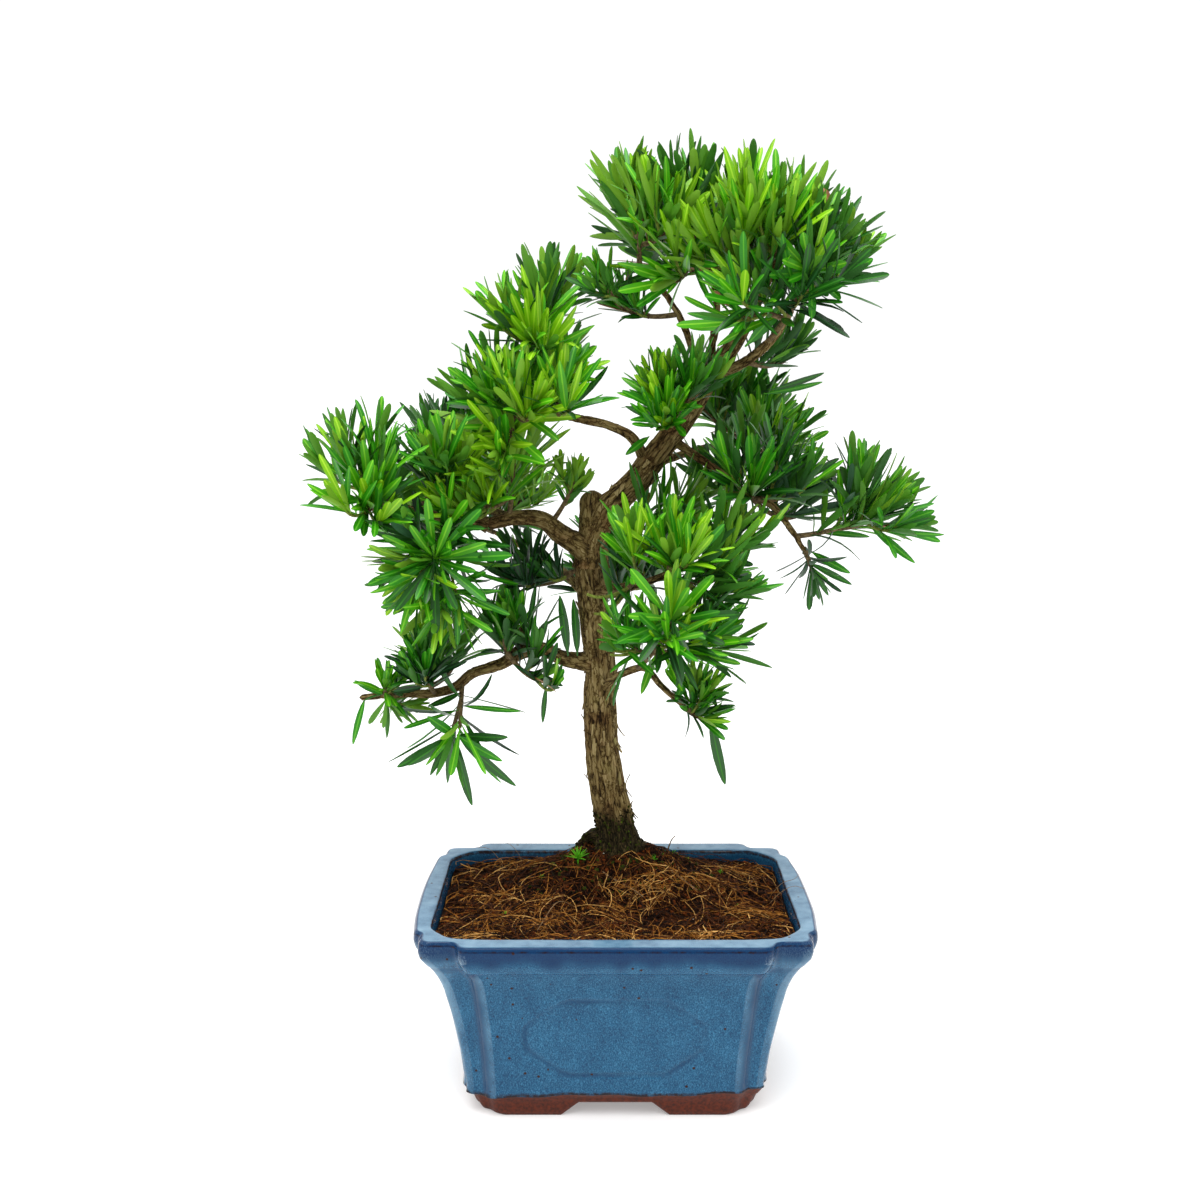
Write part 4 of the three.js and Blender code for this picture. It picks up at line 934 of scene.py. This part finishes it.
def bark_flake(ring, spoke, length, width, lift):
    """A narrow strip of bark that has come loose at one end and curls away from the trunk."""
    foot = trunk_points[ring, spoke]
    out = unit(foot - trunk_middle[ring])
    along = unit(trunk_middle[ring + 1] - trunk_middle[ring]) * (1 if scatter.random() < 0.45 else -1)
    across = np.cross(along, out)
    points = []
    for share, breadth in ((0, 1), (0.35, 0.95), (0.7, 0.8), (1, 0.35)):
        centre = foot - out * 0.5 + along * length * share + out * length * lift * share ** 1.7
        half = across * width * breadth / 2 * scatter.uniform(0.8, 1.2)
        points += [centre - half, centre + half, centre + half + out * 0.55, centre - half + out * 0.55]
    faces = [(3, 2, 1, 0), (12, 13, 14, 15)]
    for i in range(0, 12, 4):
        faces += [(i + k, i + (k + 1) % 4, i + 4 + (k + 1) % 4, i + 4 + k) for k in range(4)]
    return np.array(points), faces


FLAKES = 130
MOSSY_RINGS = 22  # rings at the foot and near the tip where no flake lifts
YOUNG_RINGS = 60
for _ in range(FLAKES):
    ring = int(scatter.integers(MOSSY_RINGS, len(trunk_points) - YOUNG_RINGS))
    spoke = int(scatter.integers(0, TRUNK_SIDES))
    length, width = scatter.uniform(3, 9), scatter.uniform(1, 2.8)
    points, faces = bark_flake(ring, spoke, length, width, scatter.uniform(0.05, 0.5))
    bark_parts.append(one_finish(points, faces))
    grain_parts.append(points * [1, 1, 0.5] + 50 * len(grain_parts))
    relief_parts.append(np.tile([0.2, 0.2, 0.75, 0.75], 4))
wood = joined_piece("bark", bark_parts, [bark])
attribute = wood.data.attributes.new(name="grain", type="FLOAT_VECTOR", domain="POINT")
attribute.data.foreach_set("vector", (np.concatenate(grain_parts) * MM).astype(np.float32).ravel())
set_attribute(wood.data, "relief", 0.34 * np.concatenate(relief_parts))
take_finish(wood, "bark", "trunk", *[bough["name"] for bough in BOUGHS])

# Moss on the trunk's foot: crumbs of cushion moss that cling to the damp bark, nearly black in their shade.
MOSS_TOP = 141
MOSS_FOOT = 104
MOST_TUFTS = 1300
tufts = []
first_root = len(limbs) - len(ROOTS)
for points, *_ in bark_parts[:1] + bark_parts[first_root:len(limbs)]:
    low = points[(points[:, 2] < MOSS_TOP + 6 * lumps(points, 9)) & (points[:, 2] > MOSS_FOOT)]
    for place in low[scatter.integers(0, len(low), min(MOST_TUFTS, len(low) // 4))]:
        shape = ball_points * scatter.uniform(0.6, 1.15, (len(ball_points), 1)) * scatter.uniform(0.25, 1)
        tufts.append(one_finish(shape + place, ball_faces))
tuft_tints = (("dark", "#0d0c05", "#231f10", 0.6), ("olive", "#20260b", "#3f4618", 0.37),
              ("green", "#36490e", "#56701c", 0.03))
order = scatter.permutation(len(tufts))
first = 0
for name, low_tone, high_tone, share in tuft_tints:
    last = first + int(share * len(tufts))
    finish = grained(f"{name} trunk moss", low_tone, high_tone, 0.5, Roughness=1.0, Specular_IOR_Level=0.05)
    take_finish(joined_piece(f"trunk_moss_{name}", [tufts[i] for i in order[first:last]], [finish]), "bark")
    first = last

# ---------------------------------------------------------------------------------------------------------
# Foliage: each mass is a stem and its branches, which carry leaves in whorls near their tips. Old leaves lie
# out from the shoot, leathery and dark; young ones stand along it, soft and yellow-green. Masses under the
# crown, inside it and at its back, and rosette leaves that point down, are also painted darker as shade.
# ---------------------------------------------------------------------------------------------------------
MASSES = [  # name, limb, place along it, leaf shade from 0 (young) to 4 (old), darker too as painted shade, habit, tips
    ("far_left", "bough_far_left", 1, 0.4, {}, [(-131, -18, 327), (-121, -36, 313), (-117, 4, 302)]),
    ("left_tall", "bough_far_left", 0.6, 0.7, {"size": 0.85},
     [(-88, -22, 332), (-103, 16, 298), (-78, -26, 330)]),
    ("left_star", "bough_far_left", 0.25, 1.6, {"rise": 0.2, "spread": 1.35, "twigs": 2},
     [(-90, -36, 288), (-88, -16, 266), (-101, -30, 286)]),
    ("left_back", "bough_mid_left_back", 1, 2.1, {}, [(-92, 75, 333), (-95, 56, 297), (-78, 24, 344)]),
    ("left_inner", "bough_mid_left", 0.8, 0.6, {}, [(-52, -4, 336), (-64, 14, 340), (-67, -22, 314)]),
    ("mid_sprig", "bough_mid_left", 0.42, 0.6, {"size": 0.45}, [(-21, 10, 324)]),
    ("under_mid", "trunk", 0.6, 3.3, {"size": 0.66, "twigs": 1},
     [(-42, 20, 268), (-52, 40, 278), (-58, 8, 272)]),
    ("low_near", "bough_low_left_inner", 0.7, 2.2, {"size": 0.8, "twigs": 1}, [(-50, -6, 248)]),
    ("low_inner", "bough_low_left_outer", 0.12, 2.6, {"size": 0.8, "twigs": 2},
     [(-58, -8, 242), (-33, -8, 219)]),
    ("low_hang", "bough_low_left_outer", 0.42, 3.1, {"rise": 0, "spread": 1.75, "leaves": 12, "twigs": 0},
     [(-80, -26, 199), (-85, -20, 194)]),
    ("low_mid", "bough_low_left_outer", 0.58, 1.7, {"size": 0.8, "twigs": 2},
     [(-98, -24, 230), (-96, 2, 233), (-84, 32, 230)]),
    ("low_end", "bough_low_left_outer", 0.86, 1.2, {"size": 0.55, "rise": 0.25, "twigs": 1},
     [(-119, -18, 218), (-119, -4, 205)]),
    ("upper_left_tall", "bough_upper_left_riser", 1, 0.7, {}, [(-38, 6, 411), (-42, -12, 394)]),
    ("upper_left_right", "bough_upper_left_riser", 0.55, 1.2, {"size": 0.85, "twigs": 2},
     [(-28, -10, 374), (-34, 36, 382), (-46, 46, 374)]),
    ("upper_left_low", "bough_upper_left", 1, 0.7, {},
     [(-58, -10, 363), (-64, 4, 346), (-42, -34, 358), (-56, -24, 340)]),
    ("upper_left_front", "bough_upper_left", 0.72, 0.8, {}, [(-29, -26, 365)]),
    ("upper_join", "bough_top_left", 0.6, 1.9, {"size": 0.58, "twigs": 2}, [(0, -4, 414), (-7, -10, 424)]),
    ("leader_sprig", "trunk", 0.93, 1.3, {"size": 0.8, "twigs": 2},
     [(20, -12, 367), (25, -22, 358), (38, -20, 369)]),
    ("top_left", "bough_top_left", 1, 0.8, {}, [(12, 2, 461), (28, -14, 451), (8, 10, 449)]),
    ("top_peak", "bough_top_centre", 1, 1.3, {"size": 1.05, "added": [(30, -10, 424)]},
     [(41, 4, 462), (25, 16, 450)]),
    ("top_front", "bough_top", 0.6, 0.8, {"size": 1.05}, [(64, -24, 456), (80, -34, 443), (50, -22, 436)]),
    ("top_high", "bough_top", 1, 1, {}, [(93, 4, 451), (86, 30, 450), (62, 26, 459)]),
    ("top_right_mid", "bough_top_right", 0.86, 1.3, {}, [(95, -28, 441), (104, -12, 432)]),
    ("top_right", "bough_top_right", 1, 0.9, {}, [(104, -4, 440), (101, 6, 425)]),
    ("top_star", "bough_top_right", 0.62, 2, {"rise": 0.3, "spread": 1.3},
     [(92, -42, 426), (64, -34, 414)]),
    ("under_top", "bough_top_right", 0.36, 2.6, {"size": 0.75, "twigs": 0}, [(84, 14, 386), (94, 26, 390)]),
    ("top_back", "bough_back_top", 1, 1.6, {"added": [(44, 52, 444), (70, 48, 448)]},
     [(57, 86, 450), (36, 74, 440), (80, 72, 446)]),
    ("right_up", "bough_right", 0.55, 2.6, {"twigs": 2},
     [(70, -12, 317), (62, 14, 323), (88, -4, 317), (97, 8, 305)]),
    ("far_right", "bough_right", 0.9, 1.2, {"rise": 0.35, "spread": 0.85, "leafy": 1.7, "leaves": 26},
     [(137, 2, 309), (131, -16, 306)]),
    ("right_hang", "bough_right", 1, 2.6, {"size": 0.6, "rise": 0, "spread": 1.5, "twigs": 0},
     [(101, -16, 279)]),
    ("fork", "trunk", 0.66, 2.4, {}, [(34, 2, 307)]),
    ("front_top", "bough_front", 0.75, 1.5, {}, [(10, -30, 289), (-1, -16, 268)]),
    ("front_centre", "bough_front", 1, 1.2, {}, [(26, -45, 287), (42, -38, 277), (55, -24, 295)]),
    ("front_star", "bough_front_low", 0.55, 1.5, {"rise": 0.3, "spread": 1.35},
     [(27, -54, 260), (6, -30, 244), (43, -32, 245)]),
    ("front_end", "bough_front_low", 1, 1.3,
     {"size": 0.6, "rise": 0.35, "twigs": 1, "added": [(40, -30, 219)]},
     [(44, -34, 206)]),
    ("back_low", "bough_back_low", 1, 2.2, {"added": [(22, 84, 262), (-4, 78, 264)]},
     [(13, 104, 257), (-10, 100, 248)]),
    ("back_left", "bough_back_left", 1, 1.5, {"added": [(-88, 84, 302), (-52, 84, 308)]},
     [(-84, 110, 295), (-60, 104, 300)]),
    ("back_right", "bough_back_right", 1, 1.5, {"added": [(50, 74, 360)]},
     [(84, 96, 349), (64, 92, 353), (88, 66, 336)]),
]
UP = np.array([0.0, 0.0, 1.0])
RISE = 0.7
LIFT = 0.42  # how far leaves turn up to the light, as a share of how steeply their shoot rises
LEAF_LENGTH = 36
LEAF_WIDTH = 4.05
GOLDEN_ANGLE = math.radians(137.5)


def seeded_random(seed):
    """The source's own run of numbers from 0 to 1, so that each branch leaves its stem at the same place."""
    state = seed
    while True:
        state = (state + 0x6D2B79F5) & 0xFFFFFFFF
        mixed = ((state ^ (state >> 15)) * (state | 1)) & 0xFFFFFFFF
        mixed ^= (mixed + ((mixed ^ (mixed >> 7)) * (mixed | 61))) & 0xFFFFFFFF
        yield ((mixed ^ (mixed >> 14)) & 0xFFFFFFFF) / 4294967296


def shoot_path(foot, tip, rise):
    """A shoot's path, which sets off sideways and bends up towards the light, and its tip's heading."""
    reach = tip - foot
    heading = unit(unit(reach) + rise * UP)
    turn = tip - 0.45 * np.linalg.norm(reach) * heading
    t = np.linspace(0, 1, 13)[:, None]
    return (1 - t) ** 2 * foot + 2 * t * (1 - t) * turn + t * t * tip, heading


def turned(vector, axis, angle):
    """A vector turned about an axis."""
    return np.array(Matrix.Rotation(angle, 3, Vector(axis)) @ Vector(vector))


branch_places = seeded_random(2017)
limb_by_name = {limb["name"]: limb for limb in [TRUNK] + BOUGHS}
masses = []
for name, carrier, at, shade, habit, tips in MASSES:
    rise = habit.get("rise", RISE)
    carrier_path = limb_path(limb_by_name[carrier], 0.5)
    foot = carrier_path[round(at * (len(carrier_path) - 1))]
    stem = shoot_path(foot, np.array(tips[0], dtype=float), rise)
    shoots = [stem]
    for k, tip in enumerate(tips[1:] + habit.get("added", [])):
        share = 0.25 + 0.25 * (next(branch_places) if k < len(tips) - 1 else 0.5)
        t = share * (len(stem[0]) - 1)
        low = stem[0][int(t)]
        branch_foot = low + (stem[0][int(t) + 1] - low) * (t % 1)
        shoots.append(shoot_path(branch_foot, np.array(tip, dtype=float), rise))
    masses.append({"name": name, "rise": rise, "size": habit.get("size", 1), "shade": shade,
                   "spread": habit.get("spread", 1), "leafy": habit.get("leafy", 1),
                   "leaves": habit.get("leaves", 24), "twigs": habit.get("twigs", 3),
                   "lift": LIFT * rise, "shoots": shoots})


def axis_points(path, heading, size):
    """Points along a shoot and a little past its tip, which the space of its mass is measured from."""
    return np.vstack([path[3:], path[-1] + heading * np.linspace(4, 20, 4)[:, None] * size])


axes = [np.vstack([axis_points(*shoot, mass["size"]) for shoot in mass["shoots"]]) for mass in masses]
limb_lines, limb_radii = [], []
for limb in [TRUNK, STUB] + BOUGHS:
    path = limb_path(limb, 4)
    limb_lines.append(path)
    limb_radii.append(taper(limb, np.linspace(0, 1, len(path))))
limb_lines, limb_radii = np.vstack(limb_lines), np.concatenate(limb_radii)


def own_space(point, mass_index):
    """Whether a point lies nearer to its own mass's shoots than to any other mass's."""
    nearest = [np.min(np.linalg.norm(axis - point, axis=1)) for axis in axes]
    return int(np.argmin(nearest)) == mass_index


BLUNT_LEAF = [  # share of the leaf's length, and its width there as a share of its full width
    (0, 0.16), (0.08, 0.2), (0.26, 0.55), (0.5, 0.86), (0.74, 1), (0.89, 0.86), (0.96, 0.55), (0.988, 0.28),
]
LANCE_LEAF = [
    (0, 0.16), (0.07, 0.24), (0.2, 0.7), (0.38, 0.96), (0.58, 1), (0.78, 0.8), (0.92, 0.46), (0.98, 0.2),
]
LEAF_THICKNESS = 0.4
RIB_WIDTH = 0.7


def leaf_body(root, direction, across, length, width, droop, roll, stations):
    """One leaf: a strap with a sunk midrib above and a keel below, bowed over its length."""
    face = np.cross(direction, across)
    across = across * math.cos(roll) + face * math.sin(roll)
    face = np.cross(direction, across)

    def middle(share):
        """The middle of the leaf at this share of its length."""
        bend = droop * share
        along = length * (math.sin(bend) / droop if abs(droop) > 1e-3 else share)
        sag = length * ((1 - math.cos(bend)) / droop if abs(droop) > 1e-3 else 0)
        return root + direction * along - face * sag

    points = []
    for share, breadth in stations:
        bend = droop * share
        centre = middle(share)
        up = face * math.cos(bend) + direction * math.sin(bend)
        half = breadth * width / 2
        rib = min(RIB_WIDTH / 2, 0.4 * half)
        thick = LEAF_THICKNESS * (1 if share < 0.9 else 0.6)
        points += [centre - across * half + up * 0.14 * half, centre - across * rib, centre + across * rib,
                   centre + across * half + up * 0.14 * half, centre - up * thick]
    points.append(middle(1))
    return np.array(points)


def leaf_faces():
    """A leaf's faces and their finishes: 0 the blade, 1 the midrib and 2 the underside."""
    faces, finishes = [], []
    kinds = (0, 1, 0, 2, 2)
    last = len(BLUNT_LEAF) - 1
    for i in range(last):
        for k, kind in enumerate(kinds):
            a, b = 5 * i + k, 5 * i + (k + 1) % 5
            faces.append((b, a, a + 5, b + 5))
            finishes.append(kind)
    tip = 5 * last + 5
    for k, kind in enumerate(kinds):
        faces.append((5 * last + (k + 1) % 5, 5 * last + k, tip))
        finishes.append(kind)
    faces.append((0, 1, 2, 3, 4))
    finishes.append(2)
    return faces, finishes


LEAF_FACES, LEAF_FINISHES = leaf_faces()
TINTS = [  # name, blade, midrib, underside
    ("lime", "#74b00c", "#9ccc2c", "#6c9c24"),
    ("fresh", "#429606", "#74bc24", "#4e861e"),
    ("mid", "#237604", "#4c9c1c", "#38701e"),
    ("deep", "#114c04", "#2c6e16", "#285420"),
    ("blue_green", "#0a300a", "#225226", "#284f30"),
    ("withered", "#7a4f2c", "#9a7448", "#8a6238"),
]
OLDEST_GREEN = 4  # place of blue_green, the oldest living leaf
leaves = {name: [] for name, *_ in TINTS}
twigs = {"old": [], "green": []}
TRUNK_FRONT = np.array([(-26, -80, 185), (-9, 12, 306)])  # kept free of leaves, so that the trunk shows
LEAF_CLEARANCE = 2.2
LOWEST_LEAF = GROUND + 12
WITHERED_SHARE = 0.012
reach_low = np.array(cad_low) / MM - POT_CENTRE / MM - [2, 2, 0]
reach_high = np.array(cad_high) / MM - POT_CENTRE / MM + [2, 2, 5]


def grow_leaves(path, heading, mass, size, count, leafy, shade):
    """A shoot's leaves: a spiral up its tip, old ones leaning out and young ones standing along it."""
    path = even_path(path, count=41)
    length = np.linalg.norm(np.diff(path, axis=0), axis=1).sum()
    start = max(0.1, 1 - leafy / length)
    side = unit(np.cross(heading, [0.3, 0.9, 0.3]))
    spin = growth.random() * 2 * math.pi
    for i in range(count):
        share = i / (count - 1)
        out = turned(side, heading, spin + i * GOLDEN_ANGLE + 0.25 * growth.normal())
        place = start + (1 - start) * share ** 0.9
        foot = path[round(place * (len(path) - 1))]
        # Leaves are longest below the middle of the spiral and shortest at the shoot's very tip.
        stage = 0.78 + 0.28 * math.sin(math.pi * (0.2 + 0.7 * share)) - 0.35 * max(0, share - 0.65)
        lean = (62 - 50 * share ** 0.7) * mass["spread"] + 7 * growth.normal()
        long = LEAF_LENGTH * size * stage * growth.uniform(0.84, 1.12)
        wide = LEAF_WIDTH * (0.5 + 0.5 * size) * growth.uniform(0.82, 1.18)
        droop = math.radians(growth.uniform(-8, 46) * (1.2 - share))
        roll = 0.5 * growth.normal()
        tone = shade + 1.8 * (0.48 - share) + 0.6 * growth.normal()
        kind = int(np.clip(round(tone), 0, OLDEST_GREEN))
        if share < 0.3 and growth.random() < WITHERED_SHARE:
            kind = len(TINTS) - 1
            wide *= 0.7
        # A leaf that would touch wood or leave the plant's space is tried shorter and nearer its shoot.
        for shorter, closer in ((1, 1), (0.82, 0.8), (0.66, 0.6)):
            angle = math.radians(lean * closer)
            direction = unit(heading * math.cos(angle) + out * math.sin(angle) + mass["lift"] * UP)
            across = unit(np.cross(heading, direction))
            tested = foot + direction * long * shorter * np.array([[0.3], [0.6], [1.0]])
            gaps = np.linalg.norm(limb_lines[None] - tested[:, None], axis=2) - limb_radii
            inside = np.all(tested[-1] > reach_low) and np.all(tested[-1] < reach_high)
            before_trunk = (tested > TRUNK_FRONT[0]).all(axis=1) & (tested < TRUNK_FRONT[1]).all(axis=1)
            above_soil = tested[:, 2].min() > LOWEST_LEAF
            if gaps.min() > LEAF_CLEARANCE and inside and not before_trunk.any() and above_soil:
                stations = BLUNT_LEAF if growth.random() < 0.3 + 0.5 * share else LANCE_LEAF
                body = leaf_body(foot, direction, across, long * shorter, wide, droop, roll, stations)
                leaves[TINTS[kind][0]].append((body, LEAF_FACES, LEAF_FINISHES))
                break


for index, mass in enumerate(masses):
    growth = np.random.default_rng([2017, index])
    for path, heading in mass["shoots"]:
        size = mass["size"]
        twigs["old"].append(one_finish(*rod(even_path(path, count=12), np.linspace(1.5, 0.95, 12), 7)))
        shade = mass["shade"] + 0.5 * growth.normal()
        grow_leaves(path, heading, mass, size, mass["leaves"], 24 * size * mass["leafy"], shade)
        # Green side twigs, which stay within their own mass.
        for k in range(mass["twigs"]):
            start = path[int(len(path) * (0.4 + 0.5 * k / mass["twigs"]))]
            side = unit(np.cross(heading, [0.3, 0.9, 0.3]))
            out = turned(side, heading, growth.random() * 2 * math.pi)
            tip = start + unit(heading + out) * growth.uniform(15, 23) * size
            if not own_space(tip, index):
                continue
            side_path, side_heading = shoot_path(start, tip, mass["rise"])
            green_twig = rod(even_path(side_path, count=7), np.linspace(1.0, 0.7, 7), 6)
            twigs["green"].append(one_finish(*green_twig))
            side_shade = shade + 0.35 + 0.5 * growth.normal()
            grow_leaves(side_path, side_heading, mass, size * 0.84, 14, 16 * size, side_shade)

# Single leaves that stand apart from the sprays: kind, foot, tip and width.
LOOSE_LEAVES = [
    ("deep", (48, -35, 207), (55, -38, 170), 5.5),
    ("mid", (65, -10, 392), (87, -16, 415), 6),
    ("withered", (47, -22, 419), (55, -28, 412), 4),
    ("withered", (101, -20, 468), (103, -24, 461), 4),
    ("deep", (-36, -6, 217), (-39, -8, 196), 3),
    ("mid", (-131, -9, 211), (-139, -14, 186), 3.6),
    ("deep", (-25, 10, 229), (-28, 2, 262), 5),
    ("deep", (-20, 10, 229), (-21, 6, 260), 4.6),
    ("deep", (81, 12, 370), (112, 18, 378), 3.4),
    ("mid", (78, 14, 368), (111, 18, 373), 3.2),
    ("mid", (18, 12, 346), (6, 2, 338), 4),
    ("deep", (43, -30, 229), (51, -34, 211), 4),
    ("mid", (38, -30, 231), (30, -36, 215), 4.2),
    ("fresh", (21, -14, 235), (13, -22, 216), 4.2),
    ("mid", (101, -8, 288), (121, -12, 276), 4.4),
    ("deep", (-83, -22, 193), (-76, -28, 156), 5.4),
    ("deep", (-83, -22, 193), (-113, -30, 179), 5.6),
    ("deep", (-82, -22, 194), (-53, -34, 168), 5.4),
    ("deep", (-82, -22, 194), (-56, -30, 193), 5.4),
    ("deep", (-83, -22, 194), (-105, -38, 183), 5.6),
    ("mid", (-82, -22, 194), (-60, -40, 184), 5.4),
    ("mid", (-83, -22, 194), (-94, -36, 206), 5.2),
]
for kind, foot, tip, width in LOOSE_LEAVES:
    foot = np.array(foot, dtype=float)
    reach = tip - foot
    direction = unit(reach)
    across = unit(np.cross(direction, [0, 1, 0]))
    body = leaf_body(foot, direction, across, np.linalg.norm(reach), width, 0.3, 0.25, LANCE_LEAF)
    leaves[kind].append((body, LEAF_FACES, LEAF_FINISHES))

# Rosettes: shoots seen end on, whose leaves spread all round like a star: centre, leaf length and count.
ROSETTES = [((-90, -37, 288), 37, 16), ((27, -55, 261), 32, 14), ((92, -43, 427), 23, 13)]
ROSETTE_LEAF_WIDTH = 4.9
growth = np.random.default_rng(2018)
for centre, long, count in ROSETTES:
    for k in range(count):
        share = k / (count - 1)
        angle = k * GOLDEN_ANGLE + 0.12 * growth.normal()
        direction = unit(np.array([math.cos(angle), -0.2 - 0.9 * share, math.sin(angle)]))
        across = unit(np.cross(direction, [0, 1, 0]))
        # Leaves that point up are painted lighter and those that point down darker: painted light and shade
        # from above.
        tone = 2.1 - 1.1 * math.sin(angle) - 0.5 * share + 0.3 * growth.normal()
        body = leaf_body(np.array(centre, dtype=float), direction, across, long * (1.05 - 0.35 * share),
                         ROSETTE_LEAF_WIDTH * (1.05 - 0.3 * share), 0.3, 0.3 * growth.normal(), BLUNT_LEAF)
        kind = TINTS[int(np.clip(round(tone), 0, OLDEST_GREEN))][0]
        leaves[kind].append((body, LEAF_FACES, LEAF_FINISHES))

VEIN_WIDTH = 1.4 * MM
for name, blade, rib, under in TINTS:
    sheen = 0.4 if name in ("deep", "blue_green") else 0.3
    # Leathery leaf: a waxed, glossy blade with a paler midrib and a matt, paler underside.
    finishes = [
        new_material(f"{name} leaf blade", Base_Color=linear(blade), Roughness=0.34,
                     Specular_IOR_Level=sheen),
        new_material(f"{name} leaf midrib", Base_Color=linear(rib), Roughness=0.5, Specular_IOR_Level=0.3),
        new_material(f"{name} leaf underside", Base_Color=linear(under), Roughness=0.5,
                     Specular_IOR_Level=0.25),
    ]
    where = add_node(finishes[0], "ShaderNodeTexCoord", {}).outputs["Object"]
    vein = add_node(finishes[0], "ShaderNodeTexNoise", {"Vector": where, "Scale": 1 / VEIN_WIDTH,
                                                        "Detail": 2})
    vein_relief = add_node(finishes[0], "ShaderNodeBump", {"Height": vein.outputs["Fac"], "Strength": 0.2,
                                                           "Distance": 0.2 * MM})
    link_shader(finishes[0], Normal=vein_relief.outputs["Normal"])
    spray = joined_piece(f"leaves_{name}", leaves[name], finishes)
    take_finish(spray, "young_foliage" if name in ("lime", "fresh") else "foliage")
TWIG_TINTS = {"old": ("#433520", "#766443"), "green": ("#54611f", "#7b8a38")}
for name, tones in TWIG_TINTS.items():
    # Young wood: thin smooth bark that is still green near the leaves.
    skin = grained(f"{name} twig bark", *tones, 1.5, Roughness=0.7, Specular_IOR_Level=0.2)
    twig_piece = joined_piece(f"twigs_{name}", twigs[name], [skin])
    take_finish(twig_piece, "bark")
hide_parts(*[f"foliage_{mass['name']}" for mass in masses])

# ---------------------------------------------------------------------------------------------------------
# The stage: a plain white floor under soft studio light, and the camera. The surroundings are bright behind
# and above the plant and dim in front of it, so that the glaze mirrors something darker than white.
# ---------------------------------------------------------------------------------------------------------
bpy.ops.mesh.primitive_plane_add(size=30, location=(0, 0, -0.0002))
floor = bpy.context.object
floor.name = "floor"
# White paper, lit from behind a little, so that shadows on it stay pale.
floor.data.materials.append(new_material("white paper floor", Base_Color=linear("#dedede"), Roughness=0.9,
                                         Emission_Color=(1, 1, 1, 1), Emission_Strength=0.3))


def softbox(name, place, aim, size, power):
    """A square studio light at a place in metres, aimed at a point."""
    lamp = bpy.data.lights.new(name, "AREA")
    lamp.shape = "SQUARE"
    lamp.size = size
    lamp.energy = power
    holder = bpy.data.objects.new(name, lamp)
    holder.location = place
    holder.rotation_euler = (Vector(aim) - Vector(place)).to_track_quat("-Z", "Y").to_euler()
    bpy.context.collection.objects.link(holder)


softbox("overhead softbox", (-0.15, -0.55, 1.5), (0, 0, 0.25), 1.0, 20)
softbox("left softbox", (-1.2, -0.9, 0.7), (0, 0, 0.25), 1.2, 2.2)
softbox("right softbox", (1.25, -0.7, 0.6), (0, 0, 0.25), 0.9, 1.5)
world = bpy.data.worlds.new("white studio")
bpy.context.scene.world = world
world.use_nodes = True
facing = add_node(world, "ShaderNodeTexCoord", {}).outputs["Generated"]
facing_parts = add_node(world, "ShaderNodeSeparateXYZ", {"Vector": facing})
backdrop = add_node(world, "ShaderNodeMapRange", {"Value": facing_parts.outputs["Y"], "From Min": -0.25,
                                                  "From Max": 0.35, "To Min": 0.42, "To Max": 1.08})
canopy = add_node(world, "ShaderNodeMapRange", {"Value": facing_parts.outputs["Z"], "From Min": 0.3,
                                                "From Max": 0.8, "To Min": 0, "To Max": 0.85})
studio = add_node(world, "ShaderNodeMath", {0: backdrop.outputs["Result"], 1: canopy.outputs["Result"]},
                  operation="ADD")
world.node_tree.links.new(studio.outputs["Value"], world.node_tree.nodes["Background"].inputs["Strength"])
world.node_tree.nodes["Background"].inputs["Color"].default_value = (1, 1, 1, 1)
bpy.context.scene.view_settings.view_transform = "Standard"

# The camera stands in front of the pot, a little left of its middle, and looks down at it.
CAMERA_PLACE = np.array([-7.9, -737, 385])
CAMERA_PITCH = 9.54
FOCAL_PIXELS = 1423
IMAGE_WIDTH = 1200
SENSOR_WIDTH = 36
bpy.ops.object.camera_add(location=CAMERA_PLACE * MM + POT_CENTRE,
                          rotation=(math.radians(90 - CAMERA_PITCH), 0, 0))
camera = bpy.context.object
camera.data.sensor_width = SENSOR_WIDTH
camera.data.lens = FOCAL_PIXELS * SENSOR_WIDTH / IMAGE_WIDTH
camera.data.clip_start = 0.01
bpy.context.scene.camera = camera
